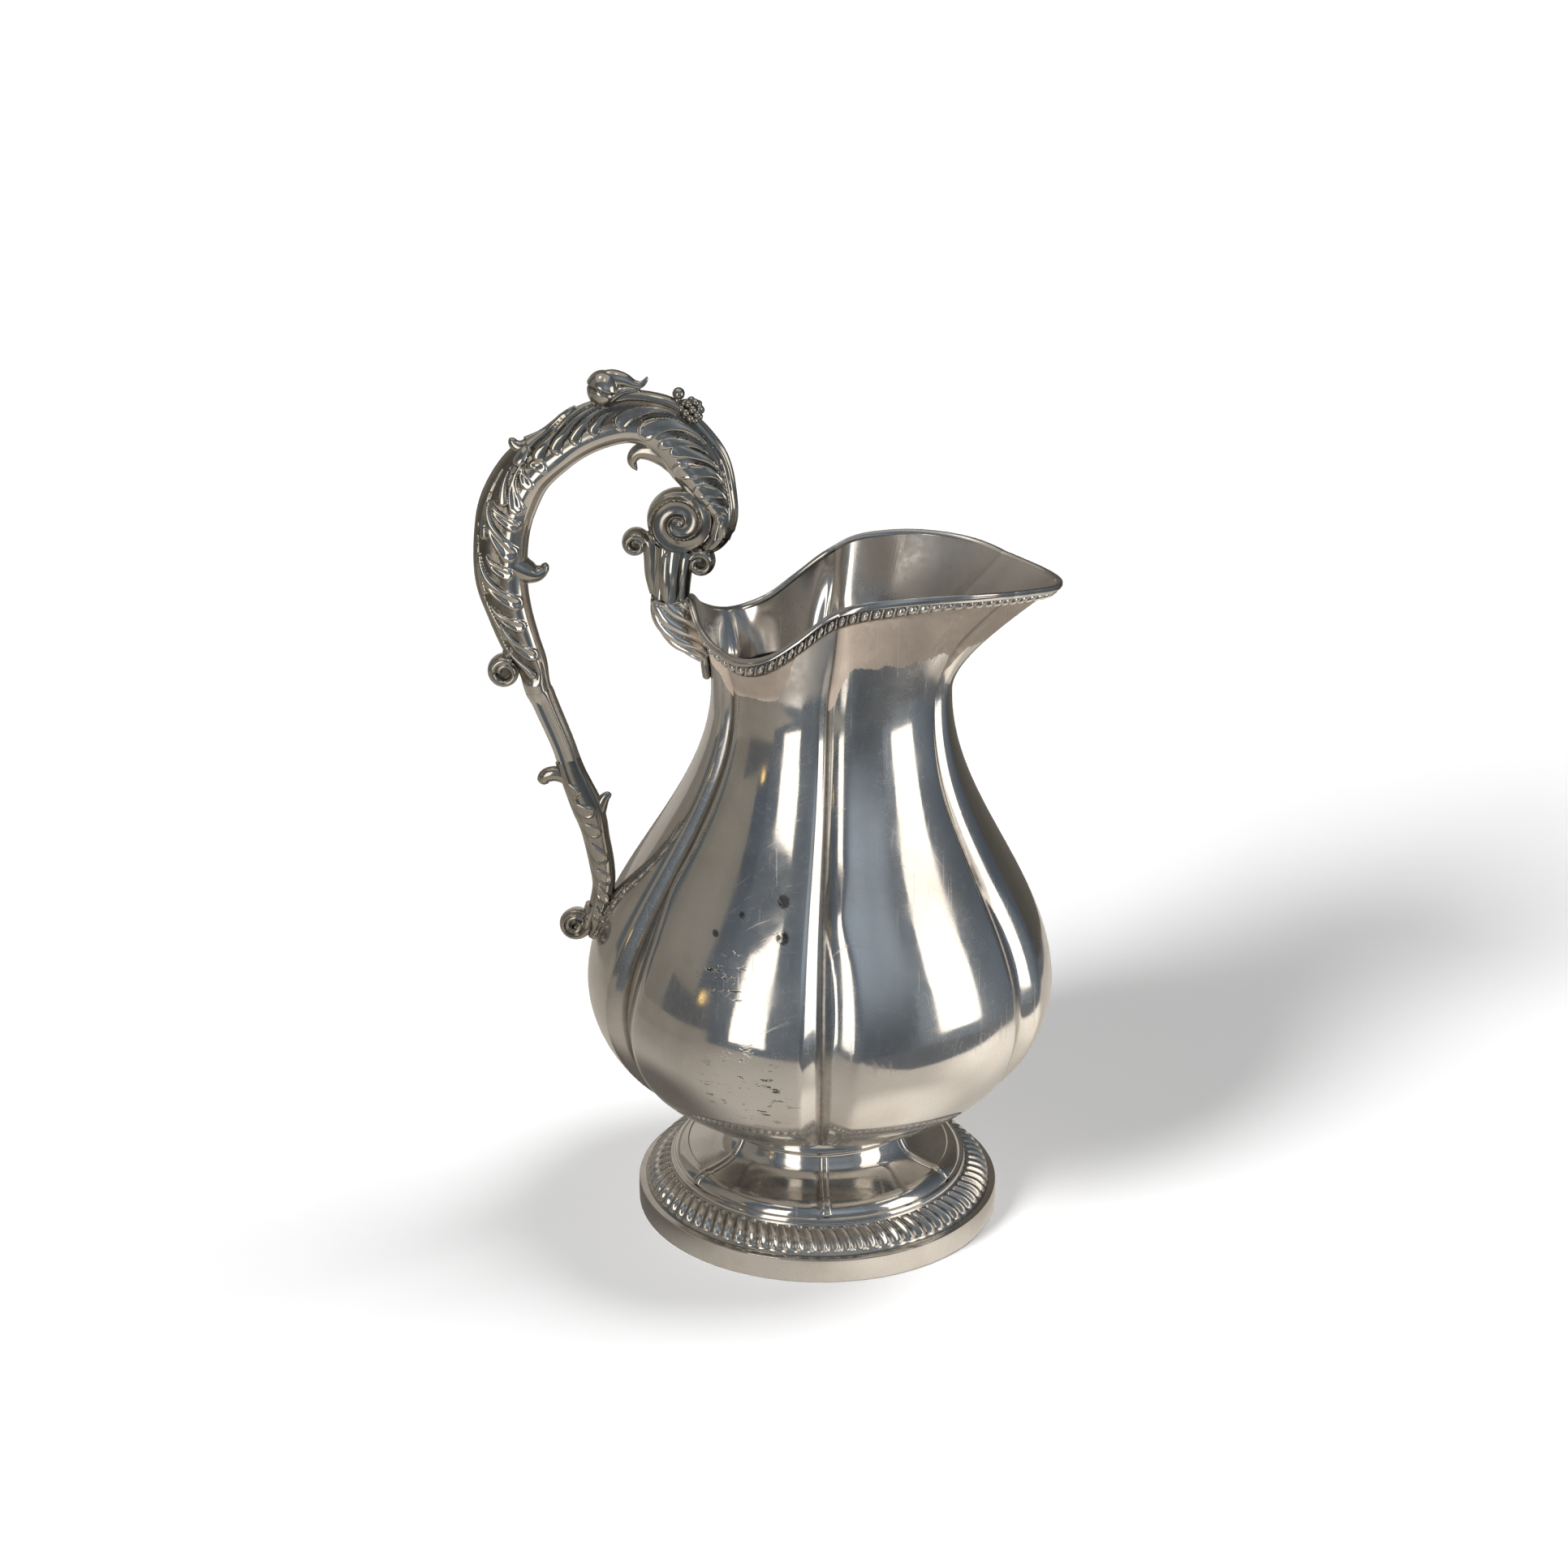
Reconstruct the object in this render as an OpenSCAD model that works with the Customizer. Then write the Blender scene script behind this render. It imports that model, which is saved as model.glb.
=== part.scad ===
// A lobed silver ewer with a wavy spouted mouth, a gadrooned foot and a cast acanthus scroll handle.
// The spout points along +X, the handle stands on the -X side, and the foot rests on the plane z = 0.

/* [Body] */
// Diameter across the lobes at the belly
belly_d = 155; // [135:1:180]
// Height of the belly's widest level above the collar
belly_rise = 48.6; // [42:0.2:58]
// Height of the neck's narrowest level above the belly
neck_rise = 102; // [85:1:120]
// Diameter of the neck at its narrowest
neck_d = 72.4; // [64:0.2:84]
// How much further the neck stands out under the spout
spout_swell = 5; // [1:0.5:8]
// Number of lobes round the body
lobes = 6; // [6:2:10]
// Depth of the creases between the lobes
crease_depth = 2.4; // [1:0.1:3.6]
// Thickness of the wall
wall = 1; // [0.8:0.1:2]

/* [Mouth] */
// Reach of the spout's tip from the axis
spout_reach = 74.5; // [66:0.5:84]
// Half width of the mouth at its sides
mouth_side = 34; // [31:0.5:40]
// Reach of the mouth's edge behind, at the handle
mouth_back = 42; // [39:0.5:48]
// Height of the mouth's highest point above the neck
mouth_rise = 40; // [32:0.5:50]
// Height of the half-round wire on the mouth's edge
lip_wire_h = 1.8; // [1:0.1:3]
// Height of the gadroon band below the wire
lip_band_h = 4; // [3:0.1:6]
// Thickness of the gadroon band
lip_band_t = 1.4; // [0.8:0.1:2.2]
// Number of gadroons round the lip
lip_gadroons = 84; // [60:6:102]

/* [Foot] */
// Diameter of the plain base band
foot_d = 122; // [112:1:136]
// Height of the base band
foot_band_h = 8.5; // [6:0.1:12]
// Thickness of the foot's metal
foot_wall = 1.6; // [1.2:0.1:2.2]
// Ledge that the base band leaves outside the gadroon ring
foot_ledge = 2.4; // [1:0.1:4]
// Width of the gadroon ring's sloping face
gadroon_w = 9; // [7:0.1:11]
// Height of the gadroon ring
gadroon_h = 7.7; // [6:0.1:10]
// Depth of the furrows between gadroons
gadroon_depth = 1.1; // [0.4:0.1:1.8]
// Number of gadroons round the foot
gadroons = 84; // [60:2:96]
// Height of the plain fillet and quarter round under the dome
step_h = 7.1; // [5:0.1:9]
// Height of the concave dome
dome_h = 7.7; // [6:0.1:10]
// Diameter of the collar between the foot and the body
collar_d = 64; // [56:0.5:70]
// Height of the collar
collar_h = 4.4; // [3:0.1:6]
// Width of the ribs on the dome
rib_w = 2.2; // [1.2:0.1:3]
// Height of the ribs on the dome
rib_h = 1; // [0.5:0.1:1.6]

/* [Handle] */
// How far the bow stands out beyond the mouth's back edge
handle_reach = 70; // [60:0.5:80]
// Height of the handle's lower seat above the belly's widest level
tail_rise = 16; // [10:0.5:22]
// Widest width of the arm, seen from the side
arm_w = 18; // [15:0.5:21]
// Depth of the arm, seen from behind
arm_depth = 12; // [9:0.5:15]
// Leaflets carved along the arm
arm_leaflets = 9; // [6:1:12]
// Leaflets carved along the arch
arch_leaflets = 5; // [3:1:8]
// Serrations along the sheath
sheath_leaflets = 8; // [5:1:11]
// Flutes round the root
root_flutes = 7; // [5:1:9]
// Diameter of the volute
volute_d = 20; // [16:0.5:23]
// Diameter of the two curls on the calyx
curl_d = 11; // [8:0.5:13]
// Diameter of the scroll at the foot of the arm
arm_scroll_d = 11; // [8:0.5:14]
// Diameter of the scroll at the handle's tail
tail_scroll_d = 10.5; // [9:0.5:14]
// Height of the spiral ridges on the scrolls' faces
spiral_h = 0.9; // [0.4:0.1:1.4]
// Height of the thumb leaf above the arch
thumb_leaf_h = 8.4; // [6:0.2:10]
// Diameter of one berry
berry_d = 3; // [2.2:0.1:3.2]
// Gap that solder fills between seated pieces
solder_gap = 0.15; // [0.1:0.05:0.3]

/* [Hidden] */
silver = [0.74, 0.72, 0.69];
cast_silver = [0.58, 0.56, 0.53];
$fn = 96;

// Levels and radii of the body
gadroon_z = foot_band_h + gadroon_h;
step_z = gadroon_z + step_h;
dome_z = step_z + dome_h;
seat_z = dome_z + collar_h;
belly_z = seat_z + belly_rise;
neck_z = belly_z + neck_rise;
belly_r = belly_d / 2;
collar_r = collar_d / 2;
// Angle, from the pole of the underside's ellipse, at which the collar meets it
seat_angle = asin(collar_r / belly_r);
under_drop = belly_rise / cos(seat_angle);

// Shape of the lobes, the shoulder and the flare of the mouth
lobe_roundness = 3.2;
shoulder_power = 0.93;
flare_power = 2.3;
// Height of the mouth's edge, at even steps from the spout round to the handle, as shares of mouth_rise
rim_rise_shares = [0.87, 0.92, 0.98, 1, 0.98, 0.93, 0.81, 0.63, 0.47, 0.41, 0.45, 0.57, 0.72];
// How far the edge goes from the side's half width towards the spout's reach
spout_shares = [1, 0.77, 0.56, 0.35, 0.19, 0.08, 0];
// How far it goes from the side's half width towards the back's reach
back_shares = [0, 0.08, 0.24, 0.47, 0.67, 0.85, 1];
// Where the wall is sampled across each lobe, from crease to crease
lobe_shares = [-1, -0.92, -0.78, -0.58, -0.36, -0.16, 0, 0.16, 0.36, 0.58, 0.78, 0.92];
// Rings of the wall outside and inside: along the underside, the shoulder and the flare
outer_rings = [5, 7, 6];
inner_rings = [3, 4, 4];
underside = 0;
shoulder = 1;
flare = 2;
rim = 3;
probe_share = 0.01;

function lerp(a, b, t) = a + (b - a) * t;

// Smooth curve through values at even steps, mirrored at both ends
function smooth(v, t) =
  let (n = len(v) - 1, i = min(floor(t), n - 1), f = t - i)
  let (a = v[abs(i - 1)], b = v[i], c = v[i + 1], d = v[i + 2 > n ? 2 * n - i - 2 : i + 2])
  spline(a, b, c, d, f);

// Smooth curve through the rows of a table, straight on at both ends
function along(rows, t) =
  let (n = len(rows) - 1, i = max(0, min(floor(t), n - 1)), f = t - i)
  let (b = rows[i], c = rows[i + 1])
  let (a = i > 0 ? rows[i - 1] : 2 * b - c, d = i + 2 > n ? 2 * c - b : rows[i + 2])
  spline(a, b, c, d, f);

function spline(a, b, c, d, f) =
  b + (c - a) * f / 2 + (2 * a - 5 * b + 4 * c - d) * f * f / 2 + (3 * b - a - 3 * c + d) * f * f * f / 2;

// Angle from the spout, from 0 to 180 on either side
function from_spout(theta) = abs(((theta + 540) % 360) - 180);
rim_step = 180 / (len(rim_rise_shares) - 1);
function rim_rise(theta) = mouth_rise * smooth(rim_rise_shares, from_spout(theta) / rim_step);
function rim_r(theta) =
  let (side = from_spout(theta))
  side < 90 ? lerp(mouth_side, spout_reach, smooth(spout_shares, side / rim_step))
            : lerp(mouth_side, mouth_back, smooth(back_shares, (side - 90) / rim_step));
function neck_r(theta) = neck_d / 2 + spout_swell * pow((1 + cos(theta)) / 2, 2);

// Depth of the crease at an angle: nothing on a lobe's crown, all of it between two lobes
function crease(theta) =
  let (pitch = 360 / lobes, share = ((theta + 360 + pitch / 2) % pitch) / (pitch / 2) - 1)
  crease_depth * pow(abs(share), lobe_roundness);

// Radius and height of the wall's outside at an angle, and a level from underside to rim
function profile(theta, level) =
  let (u = level - floor(min(level, flare)))
  let (swing = lerp(seat_angle, 90, u), fall = (1 + cos(180 * pow(u, shoulder_power))) / 2)
  let (r = level < shoulder ? belly_r * sin(swing)
         : level < flare ? lerp(neck_r(theta), belly_r, fall)
         : lerp(neck_r(theta), rim_r(theta), pow(u, flare_power)))
  let (z = level < shoulder ? belly_z - under_drop * cos(swing)
         : level < flare ? belly_z + neck_rise * u
         : neck_z + rim_rise(theta) * u)
  [r - crease(theta), z];

// Direction along the wall, up the profile, and the direction out of the wall
function rise_of(theta, level) =
  let (above = min(level + probe_share, rim), below = max(level - probe_share, underside))
  let (d = profile(theta, above) - profile(theta, below))
  d / norm(d);
function outward_of(theta, level) = let (d = rise_of(theta, level)) [d[1], -d[0]];

function spin(theta, p) = [p[0] * cos(theta), p[0] * sin(theta), p[1]];
function wall_point(theta, level, inset) =
  spin(theta, profile(theta, level) - inset * outward_of(theta, level));
function ring_angles() =
  [for (k = [0:lobes - 1], s = lobe_shares) (k + s / 2) * 360 / lobes];
function wall_ring(level, inset) = [for (a = ring_angles()) wall_point(a, level, inset)];
function levels(counts) =
  [for (part = [0:len(counts) - 1], i = [(part == 0 ? 0 : 1):counts[part]]) part + i / counts[part]];
function reversed(v) = [for (i = [len(v) - 1:-1:0]) v[i]];

// Solid through a stack of closed rings, capped at both ends
module loft(rings) {
  m = len(rings[0]);
  n = len(rings);
  points = [for (ring = rings, p = ring) p];
  middles = [for (ring = [rings[0], rings[n - 1]]) [for (p = ring) 1] * ring / m];
  sides = [for (i = [0:n - 2], j = [0:m - 1])
    let (a = i * m + j, b = i * m + (j + 1) % m)
    each [[a, a + m, b + m], [a, b + m, b]]];
  foot = [for (j = [0:m - 1]) [n * m, j, (j + 1) % m]];
  head = [for (j = [0:m - 1]) [n * m + 1, (n - 1) * m + (j + 1) % m, (n - 1) * m + j]];
  polyhedron(concat(points, middles), concat(sides, foot, head));
}

// Solid through sections that follow each other in a closed hoop
module hoop(sections) {
  m = len(sections[0]);
  n = len(sections);
  polyhedron([for (s = sections, p = s) p], [for (i = [0:n - 1], j = [0:m - 1])
    let (a = i * m + j, b = i * m + (j + 1) % m)
    let (c = (i + 1) % n * m + j, d = (i + 1) % n * m + (j + 1) % m)
    each [[a, c, d], [a, d, b]]]);
}

module body() {
  outside = [for (t = levels(outer_rings)) wall_ring(t, 0)];
  inside = [for (t = reversed(levels(inner_rings))) wall_ring(t, wall)];
  color(silver) loft(concat(outside, inside));
}

// Sections of the wire: flat on the wall's edge and the band, half round above
wire_steps = 5;
function wire_section(theta) =
  let (edge = profile(theta, rim), out = outward_of(theta, rim), up = rise_of(theta, rim))
  let (half = (wall + lip_band_t) / 2, middle = edge + out * (lip_band_t - wall) / 2 + up * solder_gap)
  [for (i = [0:wire_steps])
    let (a = 180 * i / wire_steps)
    spin(theta, middle - out * half * cos(a) + up * lip_wire_h * sin(a))];

module lip_wire() {
  color(silver) hoop([for (a = ring_angles()) reversed(wire_section(a))]);
}

// Sections of the band: against the wall, thick at the crown of a gadroon and thin between two
band_furrow_share = 0.45;
band_foot_share = 0.3;
function band_section(theta, crown) =
  let (edge = profile(theta, rim), out = outward_of(theta, rim), up = rise_of(theta, rim))
  let (gap = 2 * solder_gap, top = edge - up * gap, low = edge - up * lip_band_h, t = lip_band_t * crown)
  [for (p = [
      top + out * gap, low + out * gap, low + out * (gap + t * band_foot_share),
      lerp(top, low, 1 / 2) + out * (gap + t), top + out * (gap + t)
    ]) spin(theta, p)];

module lip_band() {
  color(silver) hoop([for (i = [0:2 * lip_gadroons - 1])
    reversed(band_section(180 * i / lip_gadroons, i % 2 == 0 ? 1 : band_furrow_share))]);
}

// Radii of the foot's stages
foot_r = foot_d / 2;
ring_r = foot_r - foot_ledge;
step_r = ring_r - gadroon_w;
seat_w = foot_wall + solder_gap;
ring_bore_r = step_r - seat_w;
fillet_share = 0.3;
dome_sag_share = 0.16;
arc_steps = 8;
dome_foot_share = 0.1;

module foot_band() {
  color(silver) rotate_extrude() polygon([
    [foot_r - foot_wall, 0], [foot_r, 0], [foot_r, foot_band_h], [ring_bore_r, foot_band_h],
    [ring_bore_r, foot_band_h - foot_wall], [foot_r - foot_wall, foot_band_h - foot_wall]
  ]);
}

// Sections of the gadroon ring: flat below, a sloping face whose crown lies between its two edges
gadroon_slant = 2.5;
gadroon_toe_share = 0.16;
gadroon_bulge_share = 0.72;
bulge_z = foot_band_h + gadroon_h * gadroon_bulge_share;
function gadroon_section(theta, drop) =
  [
    spin(theta, [ring_bore_r, foot_band_h]),
    spin(theta + gadroon_slant, [ring_bore_r, gadroon_z]),
    spin(theta + gadroon_slant, [step_r, gadroon_z]),
    spin(theta + gadroon_slant / 2, [lerp(ring_r, step_r, 1 / 2), bulge_z - drop]),
    spin(theta, [ring_r, foot_band_h + gadroon_h * gadroon_toe_share]),
    spin(theta, [ring_r, foot_band_h])
  ];

module gadroon_ring() {
  color(silver) hoop([for (i = [0:2 * gadroons - 1])
    reversed(gadroon_section(180 * i / gadroons, i % 2 == 0 ? 0 : gadroon_depth))]);
}

// Outside of the dome: fillet, quarter round, then a concave sweep up to the collar
dome_foot_r = lerp(step_r, collar_r, dome_foot_share);
function dome_sweep(u) =
  let (chord = [collar_r - foot_wall, dome_z] - [dome_foot_r, step_z])
  let (sag = [chord[1], -chord[0]] * dome_sag_share)
  [dome_foot_r, step_z] + chord * u - sag * (1 - pow(2 * u - 1, 2));
function dome_outside() =
  let (round_z = gadroon_z + step_h * fillet_share)
  concat(
    [[step_r, gadroon_z], [step_r, round_z]],
    [for (i = [1:arc_steps])
      let (a = 90 * i / arc_steps)
      [lerp(dome_foot_r, step_r, cos(a)), lerp(round_z, step_z, sin(a))]],
    [for (i = [1:arc_steps]) dome_sweep(i / arc_steps)]
  );
// The same line moved in by the thickness of the metal
function inner_line(line) = [for (i = [0:len(line) - 1])
  let (d = line[min(i + 1, len(line) - 1)] - line[max(i - 1, 0)], out = [d[1], -d[0]] / norm(d))
  line[i] - out * foot_wall];

module foot_dome() {
  line = dome_outside();
  inside = inner_line(line);
  last = len(line) - 1;
  lip_r = line[last][0] - 2 * foot_wall;
  color(silver) rotate_extrude() polygon(concat(
    line,
    [[lip_r, dome_z], [lip_r, dome_z - foot_wall]],
    [for (i = [last - 1:-1:1]) inside[i]],
    [[step_r - foot_wall, gadroon_z]]
  ));
}

module foot_collar() {
  half = collar_h / 2;
  bead = foot_wall;
  color(silver) rotate_extrude() {
    translate([collar_r - 3 * foot_wall, dome_z]) square([2 * foot_wall, collar_h]);
    translate([collar_r - foot_wall, dome_z + half]) scale([bead / half, 1]) intersection() {
      circle(half);
      translate([0, -half]) square([half, collar_h]);
    }
  }
}

// Half-round ribs laid on the dome in line with the creases
rib_sides = 5;
rib_rings = 9;
rib_end_share = 0.04;
function rib_ring(u, theta) =
  let (p = dome_sweep(u), d = dome_sweep(u + probe_share) - dome_sweep(u - probe_share))
  let (out = [d[1], -d[0]] / norm(d))
  [for (i = [0:rib_sides - 1])
    let (a = 180 * i / (rib_sides - 1), q = p + out * (solder_gap + rib_h * sin(a)), y = rib_w / 2 * cos(a))
    [q[0] * cos(theta) - y * sin(theta), q[0] * sin(theta) + y * cos(theta), q[1]]];

module foot_ribs() {
  color(silver) for (k = [0:lobes - 1])
    loft([for (i = [0:rib_rings])
      rib_ring(lerp(rib_end_share, 1 - rib_end_share, i / rib_rings), (k + 1 / 2) * 360 / lobes)]);
}

// The handle's line from the volute, over the arch, down to the belly. Each row holds shares: outwards of
// handle_reach, upwards of the stretch from the tail's seat to the mouth's back, then of the arm's width
// and depth
handle_shares = [
  [-0.04, 1.18, 0.39, 0.75], [-0.03, 1.25, 0.49, 0.8], [0.05, 1.32, 0.84, 0.95],
  [0.16, 1.4, 1.07, 1], [0.33, 1.49, 1, 1], [0.5, 1.52, 0.91, 0.95],
  [0.66, 1.5, 0.87, 0.95], [0.81, 1.45, 0.84, 0.95], [0.92, 1.38, 0.89, 0.97], [0.96, 1.28, 1, 1],
  [0.95, 1.18, 0.98, 1], [0.9, 1.06, 0.94, 1], [0.82, 0.96, 0.81, 0.9], [0.73, 0.87, 0.72, 0.8],
  [0.64, 0.8, 0.62, 0.72], [0.58, 0.73, 0.56, 0.66],
  [0.53, 0.68, 0.52, 0.62], [0.42, 0.58, 0.49, 0.6], [0.36, 0.52, 0.49, 0.6], [0.31, 0.47, 0.52, 0.62],
  [0.21, 0.38, 0.6, 0.68], [0.16, 0.33, 0.56, 0.66], [0.12, 0.28, 0.51, 0.62], [0.06, 0.2, 0.49, 0.6],
  [0.02, 0.13, 0.44, 0.56], [0.01, 0.05, 0.4, 0.6], [0, -0.03, 0.29, 0.6]
];
arch_start = 0;
arch_end = 5;
arm_end = 15;
stem_end = 18;
sheath_end = 26;
// The root and the calyx, in the same shares
root_shares = [
  [0.11, 1, 0.62, 0.92], [0.09, 0.95, 0.64, 0.95], [0.03, 0.89, 0.58, 0.87], [-0.07, 0.84, 0.4, 0.75],
  [-0.16, 0.77, 0.2, 0.5]
];
calyx_shares = [
  [0.11, 1, 0.62, 0.92], [0.13, 1.05, 0.69, 0.95], [0.15, 1.1, 0.83, 1], [0.16, 1.17, 0.95, 1]
];
volute_shares = [0.16, 1.23];
// Directions from the volute's middle to the two curls on the calyx
curl_angles = [209, 293];
arm_scroll_row = 13.85;
tail_scroll_row = 25.7;

// Lower seat on the belly's lobe and upper seat at the back of the mouth, as places in the handle's plane
tail_z = belly_z + tail_rise;
tail_level = shoulder + tail_rise / neck_rise;
low_seat = [-profile(180, tail_level)[0], tail_z];
high_seat = [-mouth_back, neck_z + rim_rise(180)];

function place(out, up) = lerp(low_seat, high_seat, up) - [out * handle_reach, 0];
function middle_at(rows, t) = let (row = along(rows, t)) place(row[0], row[1]);
function half_w_at(rows, t) = along(rows, t)[2] * arm_w / 2;
function half_d_at(rows, t) = along(rows, t)[3] * arm_depth / 2;
function run_at(rows, t) =
  let (d = middle_at(rows, t + probe_share) - middle_at(rows, t - probe_share))
  d / norm(d);
// Direction out of the handle's line, on its outer side, and a place that stands off its outer edge
function side_at(rows, t) = let (d = run_at(rows, t)) [d[1], -d[0]];
function off_edge(t, lift) =
  middle_at(handle_shares, t) + side_at(handle_shares, t) * (half_w_at(handle_shares, t) + lift);

// Keeps a point of the handle clear of a roll, and clear of the body's wall and lip
function clear_of_roll(p, roll) =
  let (d = [p[0], p[2]] - roll[0], far = norm(d), r = roll[1] + solder_gap)
  far < r ? [roll[0][0] + d[0] / far * r, p[1], roll[0][1] + d[1] / far * r] : p;
function wall_r(theta, z) =
  let (u = (z - belly_z) / neck_rise, v = (z - neck_z) / rim_rise(theta))
  z < neck_z ? profile(theta, shoulder + max(0, min(u, 1 - probe_share)))[0]
             : profile(theta, min(flare + v, rim))[0];
function clear_of_body(p) =
  let (theta = atan2(p[1], p[0]), far = norm([p[0], p[1]]))
  let (lip_z = neck_z + rim_rise(theta) - lip_band_h - lip_wire_h)
  let (r = wall_r(theta, p[2]) + solder_gap + (p[2] > lip_z ? lip_band_t + 2 * solder_gap : 0))
  far < r ? [p[0] / far * r, p[1] / far * r, p[2]] : p;

volute_roll = [place(volute_shares[0], volute_shares[1]), volute_d / 2];
curl_rolls = [for (a = curl_angles)
  [volute_roll[0] + (volute_d / 2 + curl_d / 2 + solder_gap) * [cos(a), sin(a)], curl_d / 2]];
rolls = concat([volute_roll], curl_rolls);
function clear_of_rolls(p, i = 0) = i < len(rolls) ? clear_of_rolls(clear_of_roll(p, rolls[i]), i + 1) : p;

// Relief carved round a section, as a share of its size: 1 leaves the section as it is
carve_share = 0.22;
carve_level_share = 0.7;
flute_share = 0.14;
fade_share = 0.06;
leaf_slant = 0.9;
root_twist = 1.2;
function fade(v) = min(1, min(v, 1 - v) / fade_share);
function leaflets(count, a, v) =
  let (lobe = abs(sin(180 * (count * v + leaf_slant * (1 - abs(cos(a)))))), outer = (1 + cos(a)) / 2)
  1 + carve_share * fade(v) * (lobe - carve_level_share) * sqrt(outer);
function flutes(count, a, v) =
  1 - flute_share * fade(v) * (1 - abs(sin(180 * (count * a / 360 + root_twist * v))));

section_sides = 12;
function section_at(rows, t, reliefs) =
  let (m = middle_at(rows, t), s = side_at(rows, t), w = half_w_at(rows, t), d = half_d_at(rows, t))
  [for (i = [0:section_sides - 1])
    let (a = 360 * i / section_sides, q = m + s * w * cos(a) * reliefs[i])
    [q[0], d * sin(a) * reliefs[i], q[1]]];
function section_angles() = [for (i = [0:section_sides - 1]) 360 * i / section_sides];
function leafy_run(rows, first, last, count, rings) = [for (i = [0:rings])
  section_at(rows, lerp(first, last, i / rings), [for (a = section_angles()) leaflets(count, a, i / rings)])];
function fluted_run(rows, first, last, count, rings) = [for (i = [0:rings])
  section_at(rows, lerp(first, last, i / rings), [for (a = section_angles()) flutes(count, a, i / rings)])];

rings_per_leaflet = 5;
rings_per_serration = 3;
module arch_form() {
  run = leafy_run(handle_shares, arch_start, arch_end, arch_leaflets, arch_leaflets * rings_per_leaflet);
  loft([for (ring = run) [for (p = ring) clear_of_rolls(p)]]);
}
module arm_form() {
  loft(leafy_run(handle_shares, arch_end, arm_end, arm_leaflets, arm_leaflets * rings_per_leaflet));
}
module sheath_form() {
  rings = sheath_leaflets * rings_per_serration;
  run = leafy_run(handle_shares, stem_end, sheath_end, sheath_leaflets, rings);
  loft([for (ring = run) [for (p = ring) clear_of_body(p)]]);
}

// A curled leaf tip: beads of falling size along a short curved row of shares, each with its radius
// as a share of half the arm's width
tip_fn = 8;
tip_steps = 8;
module leaf_tip(rows) {
  for (i = [0:tip_steps - 1]) hull() for (k = [i, i + 1]) {
    t = (len(rows) - 1) * k / tip_steps;
    p = middle_at(rows, t);
    translate([p[0], 0, p[1]]) sphere(along(rows, t)[2] * arm_w / 2, $fn = tip_fn);
  }
}
arch_spur_shares = [[0.41, 1.47, 0.3], [0.43, 1.42, 0.24], [0.4, 1.38, 0.1]];
back_spur_shares = [[0.9, 1.37, 0.34], [0.97, 1.42, 0.24], [1.01, 1.45, 0.09]];
finger_curl_shares = [[0.84, 1.13, 0.4], [0.76, 1.07, 0.34], [0.71, 1.1, 0.1]];
sheath_leaf_shares = [[0.29, 0.43, 0.32], [0.42, 0.48, 0.26], [0.48, 0.44, 0.16]];
sheath_bud_shares = [[0.19, 0.38, 0.36], [0.14, 0.4, 0.22], [0.11, 0.41, 0.1]];

module handle_arch() {
  color(cast_silver) {
    arch_form();
    leaf_tip(arch_spur_shares);
  }
}

module handle_arm() {
  color(cast_silver) {
    arm_form();
    leaf_tip(back_spur_shares);
    leaf_tip(finger_curl_shares);
  }
}

stem_flutes = 4;
stem_rings = 9;
module handle_stem() {
  color(cast_silver) loft(fluted_run(handle_shares, arm_end, stem_end, stem_flutes, stem_rings));
}

module stem_sheath() {
  color(cast_silver) {
    sheath_form();
    leaf_tip(sheath_leaf_shares);
    leaf_tip(sheath_bud_shares);
  }
}

root_rings = 14;
module handle_root() {
  run = fluted_run(root_shares, 0, len(root_shares) - 1, root_flutes, root_rings);
  color(cast_silver) loft([for (ring = run) [for (p = ring) clear_of_body(p)]]);
}

calyx_rings = 8;
roll_fn = 40;
// Two leaves that leave the calyx and end in the curls
calyx_leaf_shares = [
  [[0.19, 1.07, 0.3], [0.23, 1.12, 0.34], [0.29, 1.13, 0.3]],
  [[0.1, 1.06, 0.3], [0.08, 1.1, 0.3], [0.06, 1.13, 0.26]]
];
module handle_calyx() {
  run = fluted_run(calyx_shares, 0, len(calyx_shares) - 1, root_flutes, calyx_rings);
  lift = [0, 0, 2 * solder_gap];
  color(cast_silver) difference() {
    union() {
      loft([for (ring = run) [for (p = ring) clear_of_body(p + lift)]]);
      for (rows = calyx_leaf_shares) leaf_tip(rows);
    }
    for (roll = rolls) translate([roll[0][0], 0, roll[0][1]]) rotate([90, 0, 0])
      cylinder(h = 2 * arm_depth, r = roll[1] + solder_gap, center = true, $fn = roll_fn);
  }
}

// A rolled leaf end: a drum with a raised spiral on both faces and a boss at its middle
spiral_turns = 1.75;
spiral_step = 20;
spiral_core_share = 0.3;
ridge_share = 0.18;
boss_share = 0.26;
module spiral_ridge(r) {
  count = floor(spiral_turns * 360 / spiral_step);
  line = [for (i = [0:count]) [lerp(r, r * spiral_core_share, i / count), i * spiral_step]];
  polygon(concat(
    [for (q = line) q[0] * [cos(q[1]), sin(q[1])]],
    [for (q = reversed(line)) (q[0] - r * ridge_share) * [cos(q[1]), sin(q[1])]]
  ));
}
module scroll(roll, depth, turn) {
  r = roll[1];
  translate([roll[0][0], 0, roll[0][1]]) rotate([90, 0, 0]) rotate(turn) {
    cylinder(h = depth, r = r, center = true);
    cylinder(h = depth + 2 * spiral_h, r = r * boss_share, center = true);
    translate([0, 0, -depth / 2 - spiral_h]) linear_extrude(depth + 2 * spiral_h) spiral_ridge(r);
  }
}
volute_depth_share = 0.92;
curl_depth_share = 0.75;
scroll_depth_share = 0.66;
volute_turn = -40;
curl_turn = 120;
scroll_turn = 0;

module handle_volute() {
  color(cast_silver) scroll(volute_roll, arm_depth * volute_depth_share, volute_turn);
}

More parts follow.
